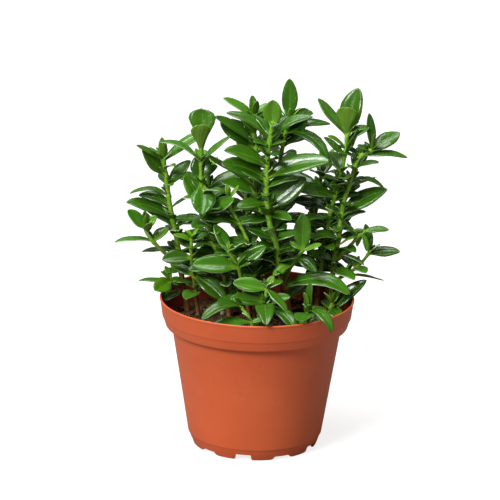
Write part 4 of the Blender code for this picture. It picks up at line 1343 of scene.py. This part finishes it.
def age_of(leaf, top):
    """From 1 for a tip leaf that has just opened to 0 for an old one; the stem ends at top."""
    if leaf.get("young"):
        return 1.0
    if leaf["spoon"]:
        return 0.75 if leaf["azimuth"] % 360 > 180 else 0.10
    below = top - leaf["height"]
    if leaf["length"] < 22:
        return luck.uniform(0.05, 0.55) if below < 20 else luck.uniform(0.0, 0.30)
    return luck.uniform(0.0, 0.14)


for name, leaves in settled.items():
    made = []
    tops = [stem["route"][-1][2] for stem in shoots[name]]
    for root, leaf in leaves:
        top = min((t for t in tops if t >= leaf["height"] - 1), default=max(tops))
        made.append(set_leaf(root, leaf, age_of(leaf, top)))
    foliage = join_up(made, name.replace("shoot_", "leaves_"))
    foliage.data.materials.append(leaf_above)
    foliage.data.materials.append(leaf_below)
    wall = foliage.modifiers.new("Thickness", "SOLIDIFY")
    wall.thickness = LEAF_THICK
    wall.offset = OUTER_SHARE
    wall.use_even_offset = False
    wall.material_offset = 1
    apply_modifiers(foliage)
    bpy.ops.object.shade_smooth()
    stand_in_for(foliage, name)
put_away(*patterns.values())
print("leaves set on", len(settled), "shoots")

# %% [markdown]
# ## Stems
# A stem tapers from a woody foot to a soft green tip and swells a little where its leaves join it.
# A cylinder extruded upwards would kink at each bend. So each stem is a smooth curve with a round
# bevel, whose radius is set point by point, and is then turned into a mesh.

# %% Draw the stems
BETWEEN_LEAVES, AT_LEAVES = 0.94, 0.32  # a stem's radius away from its leaves, and what they add
SWELLING_HIGH = 1.8
STEM_ROUNDNESS = 3


def smooth_route(route, spacing=2.5):
    """Points in millimetres along a smooth curve through the route's own points."""
    points = [Vector(p) for p in route]
    points = [points[0] * 2 - points[1], *points, points[-1] * 2 - points[-2]]
    placed = []
    for a, b, c, d in zip(points, points[1:], points[2:], points[3:]):
        pieces = max(2, round((c - b).length / spacing))
        for step in range(pieces):
            t = step / pieces
            placed.append(0.5 * ((2 * b) + (c - a) * t + (2 * a - 5 * b + 4 * c - d) * t * t
                                 + (3 * b - a - 3 * c + d) * t ** 3))
    return placed + [points[-2]]


def round_bar(name, points, radii, thick, roundness):
    """A round bar through the points, made a mesh; its radius at each is that share of thick."""
    curve = bpy.data.curves.new(name, "CURVE")
    curve.dimensions = "3D"
    curve.bevel_depth = thick
    curve.bevel_resolution = roundness
    curve.use_fill_caps = True
    spline = curve.splines.new("POLY")
    spline.points.add(len(points) - 1)
    for item, point, radius in zip(spline.points, points, radii):
        item.co = (*point, 1.0)
        item.radius = radius
    bar = bpy.data.objects.new(name, curve)
    bpy.context.collection.objects.link(bar)
    take_up(bar)
    bpy.ops.object.convert(target="MESH")
    return bpy.context.object


def draw_stem(name, stem):
    points = smooth_route(stem["route"])
    heights = {leaf["height"] for leaf in stem["leaves"]}
    first, last = stem["radii"]
    radii = []
    for number, point in enumerate(points):
        plain = first + (last - first) * number / (len(points) - 1)
        swelling = sum(math.exp(-((point.z - height) / SWELLING_HIGH) ** 2) for height in heights)
        radii.append(plain * (BETWEEN_LEAVES + AT_LEAVES * min(1.0, swelling)))
    return round_bar(name, [point * MM for point in points], radii, MM, STEM_ROUNDNESS)


for name, stems in shoots.items():
    stem_piece = join_up([draw_stem(name + "_stem", stem) for stem in stems],
                         name.replace("shoot_", "stems_"))
    stem_piece.data.materials.clear()
    stem_piece.data.materials.append(green_stem if name in GREEN_SHOOTS else woody_stem)
    bpy.ops.object.shade_smooth()
    stand_in_for(stem_piece, name)
print("stems drawn for", len(shoots), "shoots")

# %% [markdown]
# ## Loose bits on the soil
# Perlite is a white, foamy grain, bark comes in dark flat chips, and old roots show as thin tan
# fibres near the stems. A particle system could strew them, but copies placed in code keep clear of
# the stems and lie half sunk in the surface. Each kind is modelled once, with few faces, and copied
# with a fixed seed.

# %% Materials for the loose bits
def make_bit_material(name, dark, light, roughness):
    material, tree, shader = new_material(name, roughness, specular=0.3)
    grain = place_grain(tree, 240.0, 1500.0, contrast=1.4)
    tree.links.new(mix_colour(tree, grain.outputs["Patches"], dark, light),
                   shader.inputs["Base Color"])
    add_bump(tree, shader, grain.outputs["Grain"], distance=0.4 * MM, strength=0.7)
    return material


perlite_white = make_bit_material("perlite_white", dark=(0.38, 0.26, 0.20),
                                  light=(0.66, 0.50, 0.42), roughness=0.8)
bark_brown = make_bit_material("bark_brown", dark=(0.022, 0.011, 0.007),
                               light=(0.12, 0.055, 0.028), roughness=0.75)
root_tan = make_bit_material("root_tan", dark=(0.16, 0.065, 0.03), light=(0.36, 0.18, 0.09),
                             roughness=0.6)
print("bits:", perlite_white.name, bark_brown.name, root_tan.name)

# %% Model a grain, a chip and a fibre
GRAIN_LUMPS, GRAIN_PLACE = 0.45, Vector((3.1, 0.4, 7.7))
CHIP_WIDE, CHIP_THICK, CHIP_LUMPS, CHIP_PLACE = 0.55, 0.22, 0.30, Vector((1.7, 5.2, 0.3))
CHIP_SEED = 5
FIBRE_BEND = ((-1.0, 0.0, -0.30), (-0.5, 0.16, 0.05), (0.0, 0.05, 0.16), (0.5, -0.14, 0.04),
              (1.0, 0.02, -0.30))
FIBRE_THICK = 0.055


def model_grain():
    """A ball about 2 units across, pushed in and out by noise; the place picks its lumps."""
    put_everything_down()
    bpy.ops.mesh.primitive_ico_sphere_add(subdivisions=2, radius=1.0)
    grain = settle(bpy.context.object, "one_grain")
    for vertex in grain.data.vertices:
        vertex.co *= 1.0 + GRAIN_LUMPS * noise.noise(vertex.co * 1.3 + GRAIN_PLACE)
    return grain


def model_chip():
    """A flat piece of bark; noise_vector gives another one in every run unless it has a seed."""
    noise.seed_set(CHIP_SEED)
    put_everything_down()
    bpy.ops.mesh.primitive_cube_add(size=2.0)
    chip = settle(bpy.context.object, "one_chip")
    open_up(chip)
    bpy.ops.mesh.subdivide(number_cuts=1)
    bpy.ops.object.mode_set(mode="OBJECT")
    for vertex in chip.data.vertices:
        push = noise.noise_vector(vertex.co * 0.9 + CHIP_PLACE) * CHIP_LUMPS
        x, y, z = vertex.co
        vertex.co = Vector((x, y * CHIP_WIDE, z * CHIP_THICK)) + push
    return chip


def model_fibre():
    return round_bar("one_fibre", FIBRE_BEND, [1.0] * len(FIBRE_BEND), FIBRE_THICK, roundness=1)


bit_patterns = [model_grain(), model_chip(), model_fibre()]
print([len(pattern.data.polygons) for pattern in bit_patterns], "faces")

# %% Scatter them
BED_REACH, BED_EDGE = 0.0725, 0.0735
FOOT_CLEAR, FOOT_SPREAD = 0.0035, 0.012
SIDE_SHARES = (0.7, 1.1)
stem_feet = [Vector(stems[0]["route"][0][:2]) * MM for stems in shoots.values()]


def scatter(pattern, name, material, count, sizes, seed, sink, near_feet=0.0, tilt=0.5):
    """Copies on the soil; near_feet is the share that lies round the stems, tilt is in radians."""
    chance = random.Random(seed)
    copies = []
    while len(copies) < count:
        if chance.random() < near_feet:
            foot = chance.choice(stem_feet)
            spot = foot + Vector((chance.gauss(0, FOOT_SPREAD), chance.gauss(0, FOOT_SPREAD)))
        else:
            reach = BED_REACH * math.sqrt(chance.random())
            turn = chance.uniform(0, math.tau)
            spot = Vector((reach * math.cos(turn), reach * math.sin(turn)))
        size = chance.uniform(*sizes) * MM
        from_feet = min((spot - foot).length for foot in stem_feet)
        if spot.length > BED_EDGE - size or from_feet < FOOT_CLEAR:
            continue
        one = copy_of(pattern)
        one.scale = (size, size * chance.uniform(*SIDE_SHARES), size * chance.uniform(*SIDE_SHARES))
        one.rotation_euler = (chance.uniform(-tilt, tilt), chance.uniform(-tilt, tilt),
                              chance.uniform(0, math.tau))
        one.location = (spot.x, spot.y, soil_height(spot.x, spot.y) + size * sink)
        copies.append(one)
    piece = join_up(copies, name)
    piece.data.materials.clear()
    piece.data.materials.append(material)
    bpy.ops.object.shade_smooth_by_angle(angle=math.radians(45))
    stand_in_for(piece, "soil")
    print(name, "has", len(piece.data.polygons), "faces")


grain_pattern, chip_pattern, fibre_pattern = bit_patterns
scatter(grain_pattern, "perlite_grains", perlite_white, 46, sizes=(0.9, 2.3), seed=11, sink=0.35)
scatter(chip_pattern, "bark_chips", bark_brown, 260, sizes=(1.6, 4.6), seed=12, sink=0.22)
scatter(fibre_pattern, "root_fibres", root_tan, 70, sizes=(4.0, 9.0), seed=13, sink=0.12,
        near_feet=0.6, tilt=0.25)
put_away(*bit_patterns)

# %% [markdown]
# ## Finish
# At the end nothing is left selected.

# %% Put everything down
put_everything_down()
